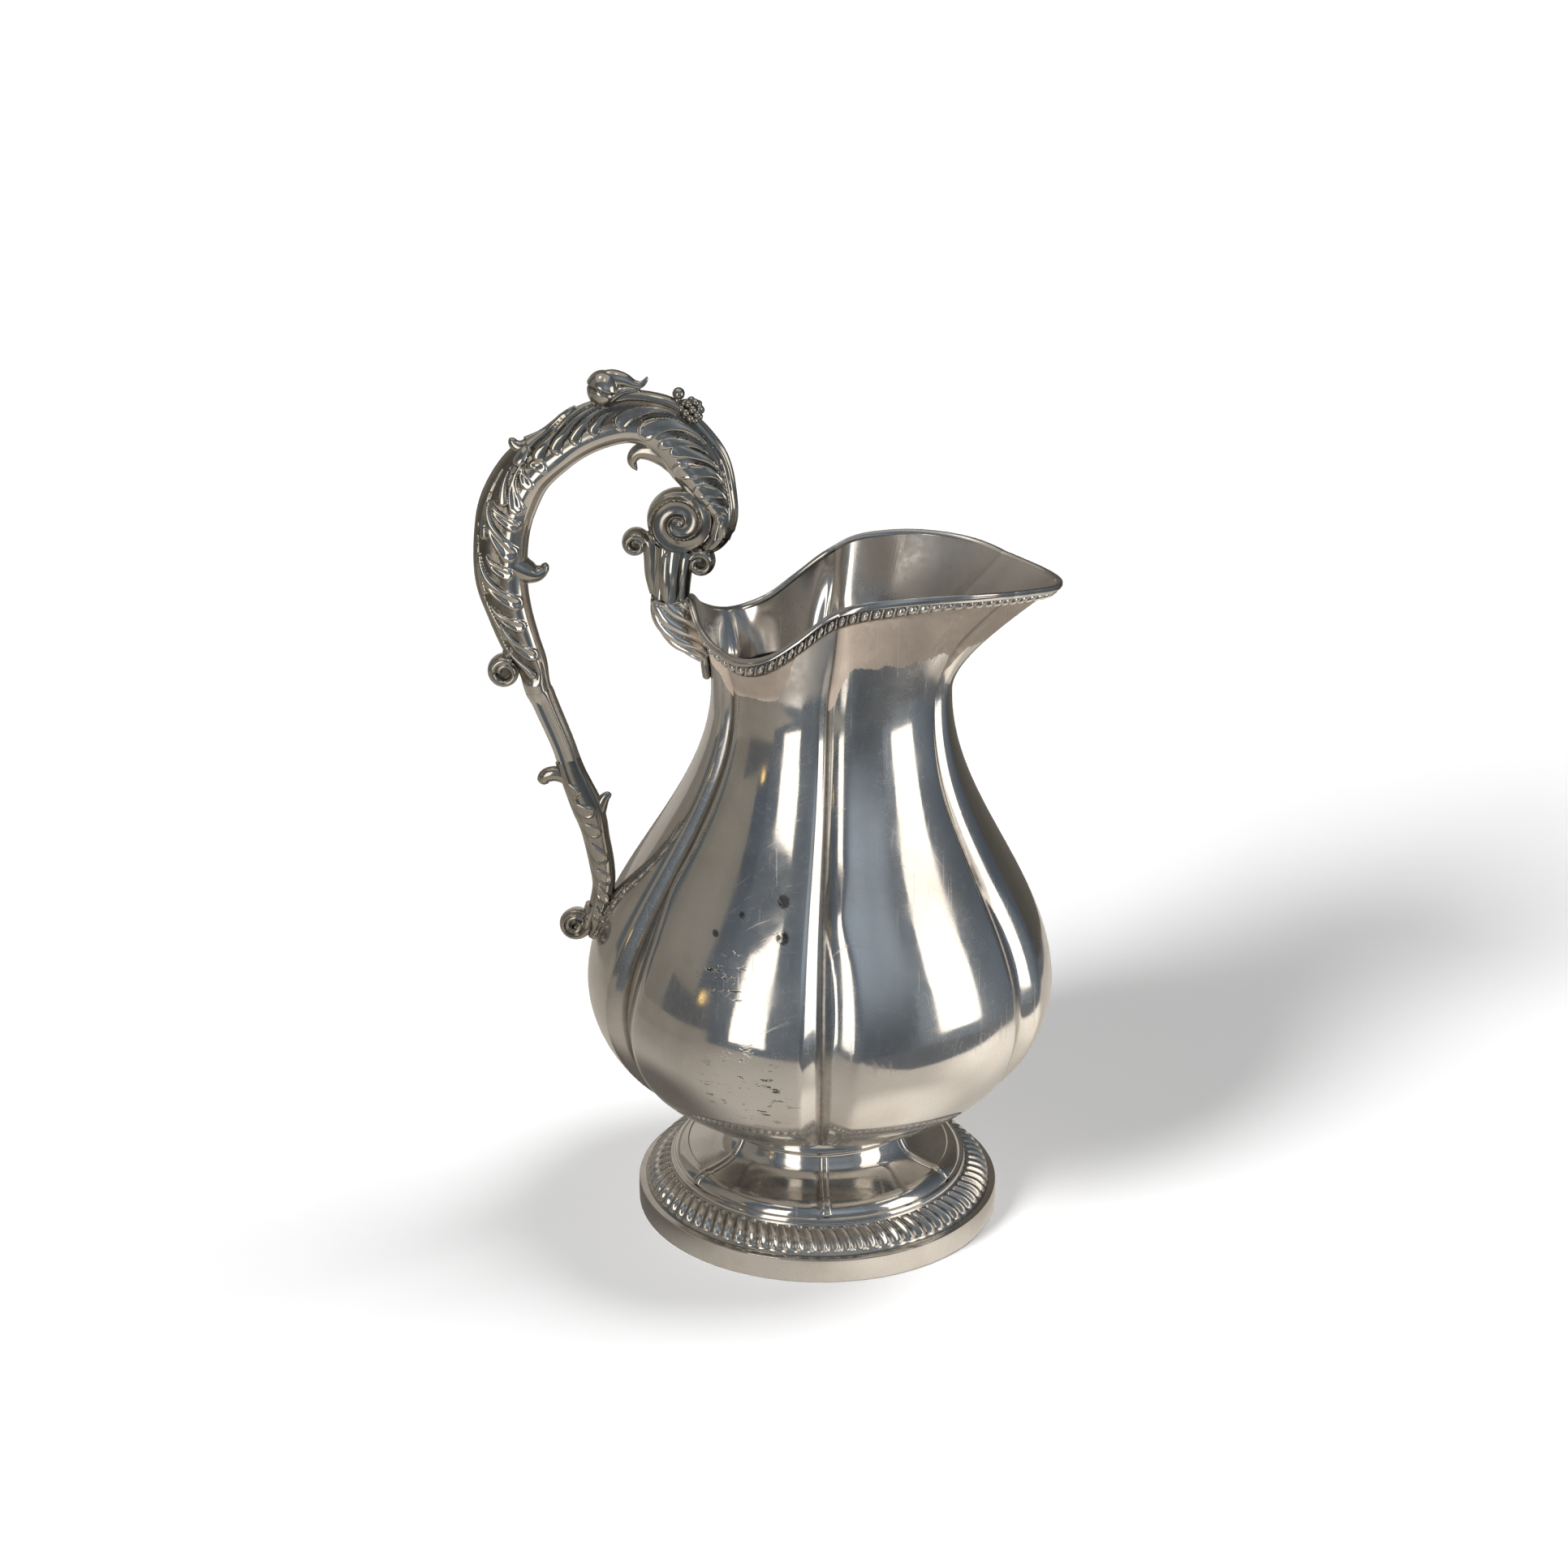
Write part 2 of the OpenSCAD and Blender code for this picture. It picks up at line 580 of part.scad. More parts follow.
module calyx_curls() {
  color(cast_silver) for (roll = curl_rolls) scroll(roll, arm_depth * curl_depth_share, curl_turn);
}

module arm_scroll() {
  r = arm_scroll_d / 2;
  color(cast_silver)
    scroll([off_edge(arm_scroll_row, r + solder_gap), r], arm_depth * scroll_depth_share, scroll_turn);
}

module tail_scroll() {
  r = tail_scroll_d / 2;
  color(cast_silver)
    scroll([off_edge(tail_scroll_row, r + solder_gap), r], arm_depth * scroll_depth_share, scroll_turn);
}

// Thumb leaf: rows along the handle's line, the lift and the radius of each bead as shares of its height
thumb_shares = [
  [5.95, 0.34, 0.4], [5.7, 0.48, 0.58], [5.4, 0.4, 0.5],
  [5.1, 0.3, 0.36], [4.88, 0.4, 0.26], [4.7, 0.72, 0.12]
];
thumb_steps = 10;
thumb_fn = 10;
module thumb_leaf() {
  color(cast_silver) difference() {
    for (i = [0:thumb_steps - 1]) hull() for (k = [i, i + 1]) {
      row = along(thumb_shares, (len(thumb_shares) - 1) * k / thumb_steps);
      p = off_edge(row[0], row[1] * thumb_leaf_h);
      translate([p[0], 0, p[1]]) sphere(row[2] * thumb_leaf_h, $fn = thumb_fn);
    }
    arch_form();
    arm_form();
  }
}

// Berries in rows across the arch, each one seated on the carved outside of the arch
berry_rows = 3;
berry_first_row = 3.6;
berry_row_step = 0.25;
berry_spread = 27;
function carved_edge(t, a) =
  let (relief = leaflets(arch_leaflets, a, (t - arch_start) / (arch_end - arch_start)))
  let (w = half_w_at(handle_shares, t), d = half_d_at(handle_shares, t))
  let (out = [cos(a) / w, sin(a) / d], lift = (berry_d / 2 + 2 * solder_gap) * out / norm(out))
  [w * cos(a) * relief + lift[0], d * sin(a) * relief + lift[1]];

module berry_cluster() {
  color(cast_silver) for (i = [0:berry_rows - 1], side = [-1, 0, 1]) {
    t = berry_first_row + i * berry_row_step;
    edge = carved_edge(t, side * berry_spread);
    p = middle_at(handle_shares, t) + side_at(handle_shares, t) * edge[0];
    translate([p[0], edge[1], p[1]]) sphere(berry_d / 2);
  }
}

body();
lip_wire();
lip_band();
foot_collar();
foot_dome();
foot_ribs();
gadroon_ring();
foot_band();
handle_root();
handle_calyx();
calyx_curls();
handle_volute();
handle_arch();
handle_arm();
arm_scroll();
thumb_leaf();
berry_cluster();
handle_stem();
stem_sheath();
tail_scroll();
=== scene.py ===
"""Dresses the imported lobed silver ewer: raised body, gadrooned lip and foot, cast acanthus handle."""

import logging
import math
from dataclasses import dataclass
from enum import Enum
from functools import partial
from typing import Iterator, Sequence

import bpy
import numpy as np
from mathutils import Matrix, Vector

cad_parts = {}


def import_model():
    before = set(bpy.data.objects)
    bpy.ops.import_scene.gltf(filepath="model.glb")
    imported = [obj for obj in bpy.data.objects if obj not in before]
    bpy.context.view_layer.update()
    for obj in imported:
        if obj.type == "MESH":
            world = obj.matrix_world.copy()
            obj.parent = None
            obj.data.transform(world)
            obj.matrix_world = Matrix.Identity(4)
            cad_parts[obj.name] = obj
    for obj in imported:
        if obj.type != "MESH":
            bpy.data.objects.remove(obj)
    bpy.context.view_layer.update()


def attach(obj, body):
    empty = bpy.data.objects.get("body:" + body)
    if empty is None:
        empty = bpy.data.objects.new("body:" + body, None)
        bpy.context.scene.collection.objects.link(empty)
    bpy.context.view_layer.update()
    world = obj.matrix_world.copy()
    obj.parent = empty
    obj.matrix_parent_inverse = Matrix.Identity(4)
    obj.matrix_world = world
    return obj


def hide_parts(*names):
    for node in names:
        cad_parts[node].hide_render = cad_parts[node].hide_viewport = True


Array = np.ndarray
Number = np.ndarray | float
Mesh = bpy.types.Object
Socket = bpy.types.NodeSocket
Pair = tuple[float, float]
Triple = tuple[float, float, float]
Quad = tuple[float, float, float, float]

LOG = logging.getLogger("ewer")
MM = 0.001
IMAGE_PX = 1932
SENSOR_MM = 36.0
WELD = 2e-6
PROFILE_WELD = 1e-7


class Slot(Enum):
    """The record's material slots."""

    RAISED = "raised_silver"
    FOOT = "foot_silver"
    TRIM = "trim_silver"
    CAST = "cast_silver"


def lerp(a: Number, b: Number, t: Number) -> Number:
    """Goes from a to b as t goes from 0 to 1."""
    return a + (b - a) * t


def ease(x: Number) -> Array:
    """Smooth step from 0 to 1."""
    x = np.clip(x, 0.0, 1.0)
    return x * x * (3 - 2 * x)


def bell(x: Number, width: float) -> Array:
    """A bump of height 1 at x = 0 that fades over the given width."""
    return np.exp(-((np.asarray(x, float) / width) ** 2))


def spline(a: Array, b: Array, c: Array, d: Array, f: Array) -> Array:
    """Catmull-Rom curve from b to c.

    Args:
        a: the values before the stretch.
        b: the values at its start.
        c: the values at its end.
        d: the values after it.
        f: shares of the way from b to c.
    Returns:
        The curve's values.
    """
    square = (2 * a - 5 * b + 4 * c - d) * f**2 / 2
    cube = (3 * b - a - 3 * c + d) * f**3 / 2
    return b + (c - a) * f / 2 + square + cube


def mirrored_curve(values: Sequence[float], t: Array) -> Array:
    """Smooth curve through even steps, mirrored at both ends.

    Args:
        values: the values at steps 0, 1, 2 and so on.
        t: places along the steps.
    Returns:
        The curve's values at those places.
    """
    v = np.asarray(values, float)
    n = len(v) - 1
    i = np.clip(np.floor(t).astype(int), 0, n - 1)
    after = np.where(i + 2 > n, 2 * n - i - 2, i + 2)
    return spline(v[np.abs(i - 1)], v[i], v[i + 1], v[after], t - i)


def row_curve(rows: Sequence[Sequence[float]], t: Array) -> Array:
    """Smooth curve through the rows of a table, straight on at both ends.

    Args:
        rows: the table, one row a step.
        t: places along the rows.
    Returns:
        One interpolated row for each place.
    """
    rows = np.asarray(rows, float)
    t = np.atleast_1d(np.asarray(t, float))
    n = len(rows) - 1
    i = np.clip(np.floor(t).astype(int), 0, n - 1)
    b, c = rows[i], rows[i + 1]
    a = np.where((i > 0)[:, None], rows[np.maximum(i - 1, 0)], 2 * b - c)
    d = np.where((i + 2 <= n)[:, None], rows[np.minimum(i + 2, n)], 2 * c - b)
    return spline(a, b, c, d, (t - i)[:, None])


def spun(theta: Array, rz: Array) -> Array:
    """Turns radii and heights at angles, in degrees, into places."""
    a = np.radians(theta)
    return np.stack([rz[:, 0] * np.cos(a), rz[:, 0] * np.sin(a), rz[:, 1]], -1)


def across(run: Array) -> Array:
    """Directions square to a line's directions, to its outer side."""
    run = run / np.linalg.norm(run, axis=1, keepdims=True)
    return np.stack([run[:, 1], -run[:, 0]], -1)


def full_turn(sides: int) -> Array:
    """Angles once round a section, starting and ending on its inner side."""
    return np.linspace(-math.pi, math.pi, sides + 1)


class Bench:
    """Blender's modelling tools, used one at a time as at a bench."""

    @staticmethod
    def clear() -> None:
        """Leaves edit mode and lets go of everything that is selected."""
        if bpy.context.object and bpy.context.object.mode != "OBJECT":
            bpy.ops.object.mode_set(mode="OBJECT")
        bpy.ops.object.select_all(action="DESELECT")

    @staticmethod
    def take(obj: Mesh) -> None:
        """Selects one piece and makes it the active one."""
        Bench.clear()
        obj.select_set(True)
        bpy.context.view_layer.objects.active = obj

    @staticmethod
    def named(name: str) -> Mesh:
        """Gives the piece just made its name."""
        obj = bpy.context.object
        obj.name = obj.data.name = name
        return obj

    @staticmethod
    def close_up(obj: Mesh, sharp: float) -> None:
        """Welds seams and poles, turns faces outwards and smooths the shading.

        Args:
            obj: the piece.
            sharp: edges above this angle, in degrees, stay sharp.
        """
        Bench.take(obj)
        bpy.ops.object.mode_set(mode="EDIT")
        bpy.ops.mesh.select_all(action="SELECT")
        bpy.ops.mesh.remove_doubles(threshold=WELD)
        bpy.ops.mesh.normals_make_consistent(inside=False)
        bpy.ops.object.mode_set(mode="OBJECT")
        bpy.ops.object.shade_smooth_by_angle(angle=math.radians(sharp))

    @staticmethod
    def skin(name: str, points: Array, paint: dict[str, Number], sharp: float = 60.0) -> Mesh:
        """Adds a grid and draws it over rows of points.

        Args:
            name: the piece's name.
            points: rows by columns of places, in millimetres; a closed form repeats its first column.
            paint: vertex values by name, each of the grid's shape or one value for all.
            sharp: edges above this angle, in degrees, stay sharp.
        Returns:
            The piece.
        """
        rows, cols = points.shape[:2]
        Bench.clear()
        bpy.ops.mesh.primitive_grid_add(x_subdivisions=cols - 1, y_subdivisions=rows - 1, size=1)
        obj = Bench.named(name)
        co = np.empty(rows * cols * 3, np.float32)
        obj.data.vertices.foreach_get("co", co)
        co = co.reshape(-1, 3)
        i = np.rint((co[:, 1] + 0.5) * (rows - 1)).astype(int)
        j = np.rint((co[:, 0] + 0.5) * (cols - 1)).astype(int)
        obj.data.vertices.foreach_set("co", (points[i, j] * MM).astype(np.float32).ravel())
        for key, values in paint.items():
            layer = obj.data.attributes.new(key, "FLOAT", "POINT")
            values = np.broadcast_to(values, (rows, cols))[i, j]
            layer.data.foreach_set("value", values.astype(np.float32))
        Bench.close_up(obj, sharp)
        return obj

    @staticmethod
    def turned(name: str, profile: Sequence[Pair], steps: int = 192) -> Mesh:
        """Draws a closed profile point by point and spins it about the upright axis.

        Args:
            name: the piece's name.
            profile: radius and height of each point, in millimetres.
            steps: steps of the full turn.
        Returns:
            The piece.
        """
        line = [Vector((r * MM, 0, z * MM)) for r, z in profile]
        Bench.clear()
        bpy.ops.mesh.primitive_plane_add(size=MM, location=(0, 0, 0))
        obj = Bench.named(name)
        bpy.ops.object.mode_set(mode="EDIT")
        bpy.ops.mesh.merge(type="CENTER")
        bpy.ops.transform.translate(value=line[0])
        for before, after in zip(line, line[1:] + line[:1]):
            bpy.ops.mesh.extrude_vertices_move(TRANSFORM_OT_translate={"value": after - before})
        bpy.ops.mesh.select_all(action="SELECT")
        bpy.ops.mesh.remove_doubles(threshold=PROFILE_WELD)
        bpy.ops.mesh.spin(steps=steps, angle=2 * math.pi, center=(0, 0, 0), axis=(0, 0, 1))
        Bench.close_up(obj, sharp=30.0)
        return obj

    @staticmethod
    def bar(
        name: str,
        middle: Array,
        side: Array,
        half: tuple[Array, Array],
        sides: int,
        hollow: Number,
        swell: Number = 0.0,
        square: float = 1.0,
        y: float = 0.0,
        shine: Number = 0.0,
    ) -> Mesh:
        """Makes a bar along a line in the handle's plane, with closed ends.

        Args:
            name: the piece's name.
            middle: places of the line.
            side: directions across the line, in the plane.
            half: half widths in the plane and half depths across it.
            sides: sides of the section.
            hollow: tarnish of the surface, from 0 to 1.
            swell: heights added all over, one row for each place and one column for each side.
            square: above 1 flattens the section's sides.
            y: how far the line stands off the plane.
            shine: how much brighter the metal is rubbed, from 0 to 1.
        Returns:
            The piece.
        """
        a = full_turn(sides)
        wide, deep = (np.sign(f) * np.abs(f) ** (1 / square) for f in (np.cos(a), np.sin(a)))
        lift = np.broadcast_to(swell, (len(middle), sides + 1))
        w = half[0][:, None] * wide + lift * np.cos(a)
        d = half[1][:, None] * deep + lift * np.sin(a)
        grid = np.stack([middle[:, :1] + side[:, :1] * w, d + y, middle[:, 1:] + side[:, 1:] * w], -1)
        first, last = (np.repeat(row[:-1].mean(0)[None, None], sides + 1, axis=1) for row in grid[[0, -1]])
        layers = {"hollow": np.broadcast_to(hollow, lift.shape), "inside": np.broadcast_to(shine, lift.shape)}
        paint = {key: np.concatenate([layer[:1], layer, layer[-1:]]) for key, layer in layers.items()}
        return Bench.skin(name, np.concatenate([first, grid, last]), paint, sharp=50.0)

    @staticmethod
    def join(name: str, parts: Sequence[Mesh]) -> Mesh:
        """Makes one piece of several.

        Args:
            name: the piece's name.
            parts: the pieces to join.
        Returns:
            The piece.
        """
        Bench.take(parts[0])
        for part in parts:
            part.select_set(True)
        if len(parts) > 1:
            bpy.ops.object.join()
        return Bench.named(name)

    @staticmethod
    def count(obj: Mesh) -> int:
        """Number of triangles in a piece."""
        return sum(len(p.vertices) - 2 for p in obj.data.polygons)


class NodeBoard:
    """The node tree of a material or of the surround, wired up a node at a time."""

    def __init__(self, owner: bpy.types.Material | bpy.types.World) -> None:
        """Starts with an empty tree."""
        owner.use_nodes = True
        self.owner = owner
        self.tree = owner.node_tree
        self.tree.nodes.clear()

    def add(self, kind: str, values: dict | None = None, **settings: object) -> bpy.types.Node:
        """Adds a node.

        Args:
            kind: Blender's name of the node.
            values: socket values, or node outputs to link, by socket name or number.
            settings: properties of the node.
        Returns:
            The node.
        """
        node = self.tree.nodes.new(kind)
        for key, value in settings.items():
            setattr(node, key, value)
        for key, value in (values or {}).items():
            if isinstance(value, Socket):
                self.tree.links.new(value, node.inputs[key])
            else:
                node.inputs[key].default_value = value
        return node

    def place(self, scale: Sequence[float] = (1, 1, 1), turn: Sequence[float] = (0, 0, 0)) -> Socket:
        """Object coordinates, stretched and turned.

        Args:
            scale: stretch along each axis.
            turn: turn about each axis, in radians.
        Returns:
            The coordinates.
        """
        at = self.add("ShaderNodeTexCoord").outputs["Object"]
        values = {"Vector": at, "Scale": scale, "Rotation": turn}
        return self.add("ShaderNodeMapping", values).outputs["Vector"]

    def layer(self, name: str) -> Socket:
        """Values painted on the piece's vertices; 0 where it has none."""
        return self.add("ShaderNodeAttribute", attribute_name=name).outputs["Fac"]

    def far(self, at: Socket, place: Triple) -> Socket:
        """Distance, in metres, from a place in millimetres."""
        values = {0: at, 1: tuple(c * MM for c in place)}
        return self.add("ShaderNodeVectorMath", values, operation="DISTANCE").outputs["Value"]

    def noise(self, at: Socket, scale: float, detail: float, rough: float, warp: float = 0.0) -> Socket:
        """Cloudy pattern from 0 to 1."""
        values = {"Vector": at, "Scale": scale, "Detail": detail, "Roughness": rough, "Distortion": warp}
        return self.add("ShaderNodeTexNoise", values).outputs[0]

    def span(
        self, value: Socket, low: float, high: float, to_low: float = 0.0, to_high: float = 1.0
    ) -> Socket:
        """Stretches a range of values to another, clamped."""
        values = {"Value": value, "From Min": low, "From Max": high, "To Min": to_low, "To Max": to_high}
        return self.add("ShaderNodeMapRange", values, interpolation_type="SMOOTHSTEP").outputs[0]

    def math(self, kind: str, a: Socket | float, b: Socket | float) -> Socket:
        """Arithmetic on two values, clamped to 0 to 1."""
        return self.add("ShaderNodeMath", {0: a, 1: b}, operation=kind, use_clamp=True).outputs[0]

    def plus(self, a: Socket | float, b: Socket | float) -> Socket:
        """Sum of two values, clamped to 0 to 1."""
        return self.math("ADD", a, b)

    def times(self, a: Socket | float, b: Socket | float) -> Socket:
        """Product of two values, clamped to 0 to 1."""
        return self.math("MULTIPLY", a, b)

    def blend(self, share: Socket, a: Socket | Triple, b: Socket | Triple, kind: str = "MIX") -> Socket:
        """Mixes two colours.

        Args:
            share: share of the second colour.
            a: the first colour.
            b: the second colour.
            kind: Blender's name of the way of mixing.
        Returns:
            The colour.
        """
        colours = (colour if isinstance(colour, Socket) else (*colour, 1.0) for colour in (a, b))
        values = dict(zip((0, 6, 7), (share, *colours)))
        return self.add("ShaderNodeMix", values, data_type="RGBA", blend_type=kind).outputs[2]

    def bump(self, height: Socket, strength: float, depth: float, under: Socket | None = None) -> Socket:
        """Relief of the surface, on top of another relief.

        Args:
            height: heights, from 0 to 1.
            strength: share of the relief that shows.
            depth: depth of the relief, in metres.
            under: the relief below it.
        Returns:
            The surface's directions.
        """
        values = {"Height": height, "Strength": strength, "Distance": depth}
        if under is not None:
            values["Normal"] = under
        return self.add("ShaderNodeBump", values).outputs[0]

    def metal(self, colour: Socket, rough: Socket | float, normal: Socket) -> Socket:
        """Bare metal."""
        values = {"Base Color": colour, "Roughness": rough, "Normal": normal, "Metallic": 1.0}
        return self.add("ShaderNodeBsdfPrincipled", values).outputs[0]

    def mix(self, share: Socket, a: Socket, b: Socket) -> Socket:
        """Mixes two surfaces."""
        return self.add("ShaderNodeMixShader", {0: share, 1: a, 2: b}).outputs[0]

    def done(self, surface: Socket) -> bpy.types.Material:
        """Wires the surface to a material's output."""
        self.add("ShaderNodeOutputMaterial", {"Surface": surface})
        return self.owner


@dataclass(frozen=True)
class Silver:
    """A silver finish: polish, dents, scratches, tarnish in hollows, frosted patches and a milky film.

    Scuffs and blots are places and reaches in millimetres; dents and the flare's lift are in metres.
    """

    name: str
    bright: Triple = (0.66, 0.64, 0.61)
    dull: Triple = (0.47, 0.42, 0.36)
    deep: Triple = (0.10, 0.075, 0.05)
    clean: Triple = (0.9, 0.87, 0.83)
    veil: Triple = (0.6, 0.62, 0.63)
    film: Triple = (0.44, 0.355, 0.285)
    pit: Triple = (0.03, 0.028, 0.025)
    spot: Triple = (0.04, 0.036, 0.03)
    polish: float = 0.07
    worn: float = 0.16
    frosted: float = 0.42
    veiled: float = 0.42
    sooty: float = 0.22
    dents: float = 0.00035
    dent_scale: float = 24.0
    scratches: float = 0.12
    haze: float = 0.14
    clouds: float = 26.0
    flare: float = 0.0108
    flare_z: Pair = (186.0, 226.0)
    scuffs: tuple[Quad, ...] = ()
    blots: tuple[Quad, ...] = ()
    blot_squash: float = 0.25
    grain_scale: float = 420.0
    wear_scale: float = 60.0
    edge_scale: float = 90.0

    def make(self) -> bpy.types.Material:
        """Wires up the finish.

        Returns:
            The material.
        """
        board = NodeBoard(bpy.data.materials.new(self.name))
        grain = board.noise(board.place(), self.grain_scale, detail=5.0, rough=0.65)
        clouds = board.noise(board.place(), self.clouds, detail=6.0, rough=0.6, warp=0.4)
        dark = board.times(board.layer("hollow"), board.span(grain, 0.2, 0.75, to_low=0.7))
        colour, normal = self.tone(board, clouds, dark), self.relief(board, grain)
        colour, normal = self.scuffed(board, colour, normal)
        colour = self.blotted(board, grain, colour)
        metal = board.metal(colour, self.roughness(board, grain), normal)
        veil = board.metal(board.blend(dark, self.veil, self.deep), self.veiled, normal)
        matt = board.add("ShaderNodeBsdfDiffuse", {"Color": self.milk(board, clouds), "Normal": normal})
        metal = board.mix(self.haze_share(board), metal, veil)
        return board.done(board.mix(self.film_share(board, grain), metal, matt.outputs[0]))

    def tone(self, board: NodeBoard, clouds: Socket, dark: Socket) -> Socket:
        """Colour of the metal: cloudy tarnish, brighter where rubbed clean, dark in the hollows.

        Args:
            board: the material's nodes.
            clouds: cloudy pattern, from 0 to 1.
            dark: tarnish in the hollows, from 0 to 1.
        Returns:
            The colour.
        """
        stain = board.span(clouds, 0.42, 0.72, to_high=0.55)
        stain = board.plus(stain, board.times(board.layer("frost"), 0.55))
        colour = board.blend(stain, self.bright, self.dull)
        colour = board.blend(board.layer("inside"), colour, self.clean)
        return board.blend(dark, colour, self.deep)

    def relief(self, board: NodeBoard, grain: Socket) -> Socket:
        """Hammered dents, fine grain and, inside the mouth, a wall that leans out more than outside.

        Args:
            board: the material's nodes.
            grain: fine grain, from 0 to 1.
        Returns:
            The surface's directions.
        """
        at = board.place()
        normal = board.bump(board.noise(at, self.dent_scale, detail=2.0, rough=0.4), 1.0, self.dents)
        normal = board.bump(grain, 0.12, 0.06 * MM, normal)
        low, high = self.flare_z
        values = {"Value": board.add("ShaderNodeSeparateXYZ", {0: at}).outputs["Z"]}
        values |= {"From Min": low * MM, "From Max": high * MM}
        rise = board.times(board.add("ShaderNodeMapRange", values).outputs[0], board.layer("inside"))
        return board.bump(rise, 1.0, -self.flare, normal)

    def scuffed(self, board: NodeBoard, colour: Socket, normal: Socket) -> tuple[Socket, Socket]:
        """Adds patches of short dark dashes that are cut into the metal.

        Args:
            board: the material's nodes.
            colour: the metal's colour.
            normal: its relief.
        Returns:
            Colour and relief with the dashes.
        """
        for x, y, z, reach in self.scuffs:
            where = board.span(board.far(board.place(), (x, y, z)), reach * MM, reach * 0.4 * MM)
            dash = board.noise(board.place((170, 170, 620), (0.0, 0.25, 0.0)), 1.0, detail=3.0, rough=0.65)
            marks = board.times(board.span(dash, 0.6, 0.66), where)
            colour = board.blend(marks, colour, self.pit)
            normal = board.bump(marks, 0.5, -0.2 * MM, normal)
        return colour, normal

    def blotted(self, board: NodeBoard, grain: Socket, colour: Socket) -> Socket:
        """Adds small ragged dark spots, measured mainly across the view so that they lie on the surface.

        Args:
            board: the material's nodes.
            grain: fine grain, from 0 to 1.
            colour: the metal's colour.
        Returns:
            The colour with the spots.
        """
        for x, y, z, reach in self.blots:
            far = board.far(board.place((1, self.blot_squash, 1)), (x, y * self.blot_squash, z))
            marks = board.times(board.span(far, reach * MM, reach * 0.6 * MM), board.span(grain, 0.4, 0.5))
            colour = board.blend(marks, colour, self.spot)
        return colour

    def roughness(self, board: NodeBoard, grain: Socket) -> Socket:
        """Polish with wear, two runs of fine scratches, frosted patches and sooty hollows.

        Args:
            board: the material's nodes.
            grain: fine grain, from 0 to 1.
        Returns:
            The roughness.
        """
        along = board.noise(board.place((1400, 60, 30), (0.3, 0.5, 0.2)), 1.0, detail=2.0, rough=0.5)
        aslant = board.noise(board.place((50, 1100, 90), (0.4, 0.2, 0.9)), 1.0, detail=2.0, rough=0.5)
        lines = board.plus(board.span(along, 0.64, 0.72), board.span(aslant, 0.66, 0.74))
        patch = board.times(board.layer("frost"), board.span(grain, 0.25, 0.7, to_low=0.6))
        wear = board.noise(board.place(), self.wear_scale, detail=5.0, rough=0.6)
        rough = board.span(wear, 0.35, 0.7, self.polish, self.worn)
        soot = board.layer("hollow")
        for extra, share in ((lines, self.scratches), (patch, self.frosted), (soot, self.sooty)):
            rough = board.plus(rough, board.times(extra, share))
        return rough

    def haze_share(self, board: NodeBoard) -> Socket:
        """Share of the pale veil: cloudy, with hair-thin swirls left by polishing.

        Args:
            board: the material's nodes.
        Returns:
            The share.
        """
        cloud = board.noise(board.place((30, 30, 18)), 1.0, detail=6.0, rough=0.7)
        share = board.span(cloud, 0.3, 0.75, self.haze * 0.35, self.haze * 1.6)
        hairs = []
        for scale, turn, warp, level, width in (
            ((75, 75, 50), (0.0, 0.0, 0.0), 1.6, 0.5, 0.006),
            ((60, 90, 120), (0.7, 0.2, 0.5), 1.2, 0.47, 0.005),
        ):
            swirl = board.noise(board.place(scale, turn), 1.0, detail=3.0, rough=0.6, warp=warp)
            values = {0: swirl, 1: level, 2: width}
            hairs.append(board.add("ShaderNodeMath", values, operation="COMPARE").outputs[0])
        return board.plus(share, board.times(board.math("MAXIMUM", *hairs), self.haze))

    def film_share(self, board: NodeBoard, grain: Socket) -> Socket:
        """Share of the milky film, with a ragged edge.

        Args:
            board: the material's nodes.
            grain: fine grain, from 0 to 1.
        Returns:
            The share.
        """
        edge = board.noise(board.place(), self.edge_scale, detail=5.0, rough=0.6)
        ragged = board.plus(board.layer("film"), board.span(edge, 0.3, 0.7, to_high=0.5))
        return board.times(board.span(ragged, 0.68, 0.8), board.span(grain, 0.2, 0.6, 0.72, 0.9))

    def milk(self, board: NodeBoard, clouds: Socket) -> Socket:
        """Colour of the milky film: cloudy, darker where the metal is frosted.

        Args:
            board: the material's nodes.
            clouds: cloudy pattern, from 0 to 1.
        Returns:
            The colour.
        """
        darker = tuple(0.7 * c for c in self.film)
        colour = board.blend(board.span(clouds, 0.3, 0.65), self.film, darker)
        return board.blend(board.span(board.layer("frost"), 0.4, 1.0), colour, (0.6, 0.6, 0.6), "MULTIPLY")


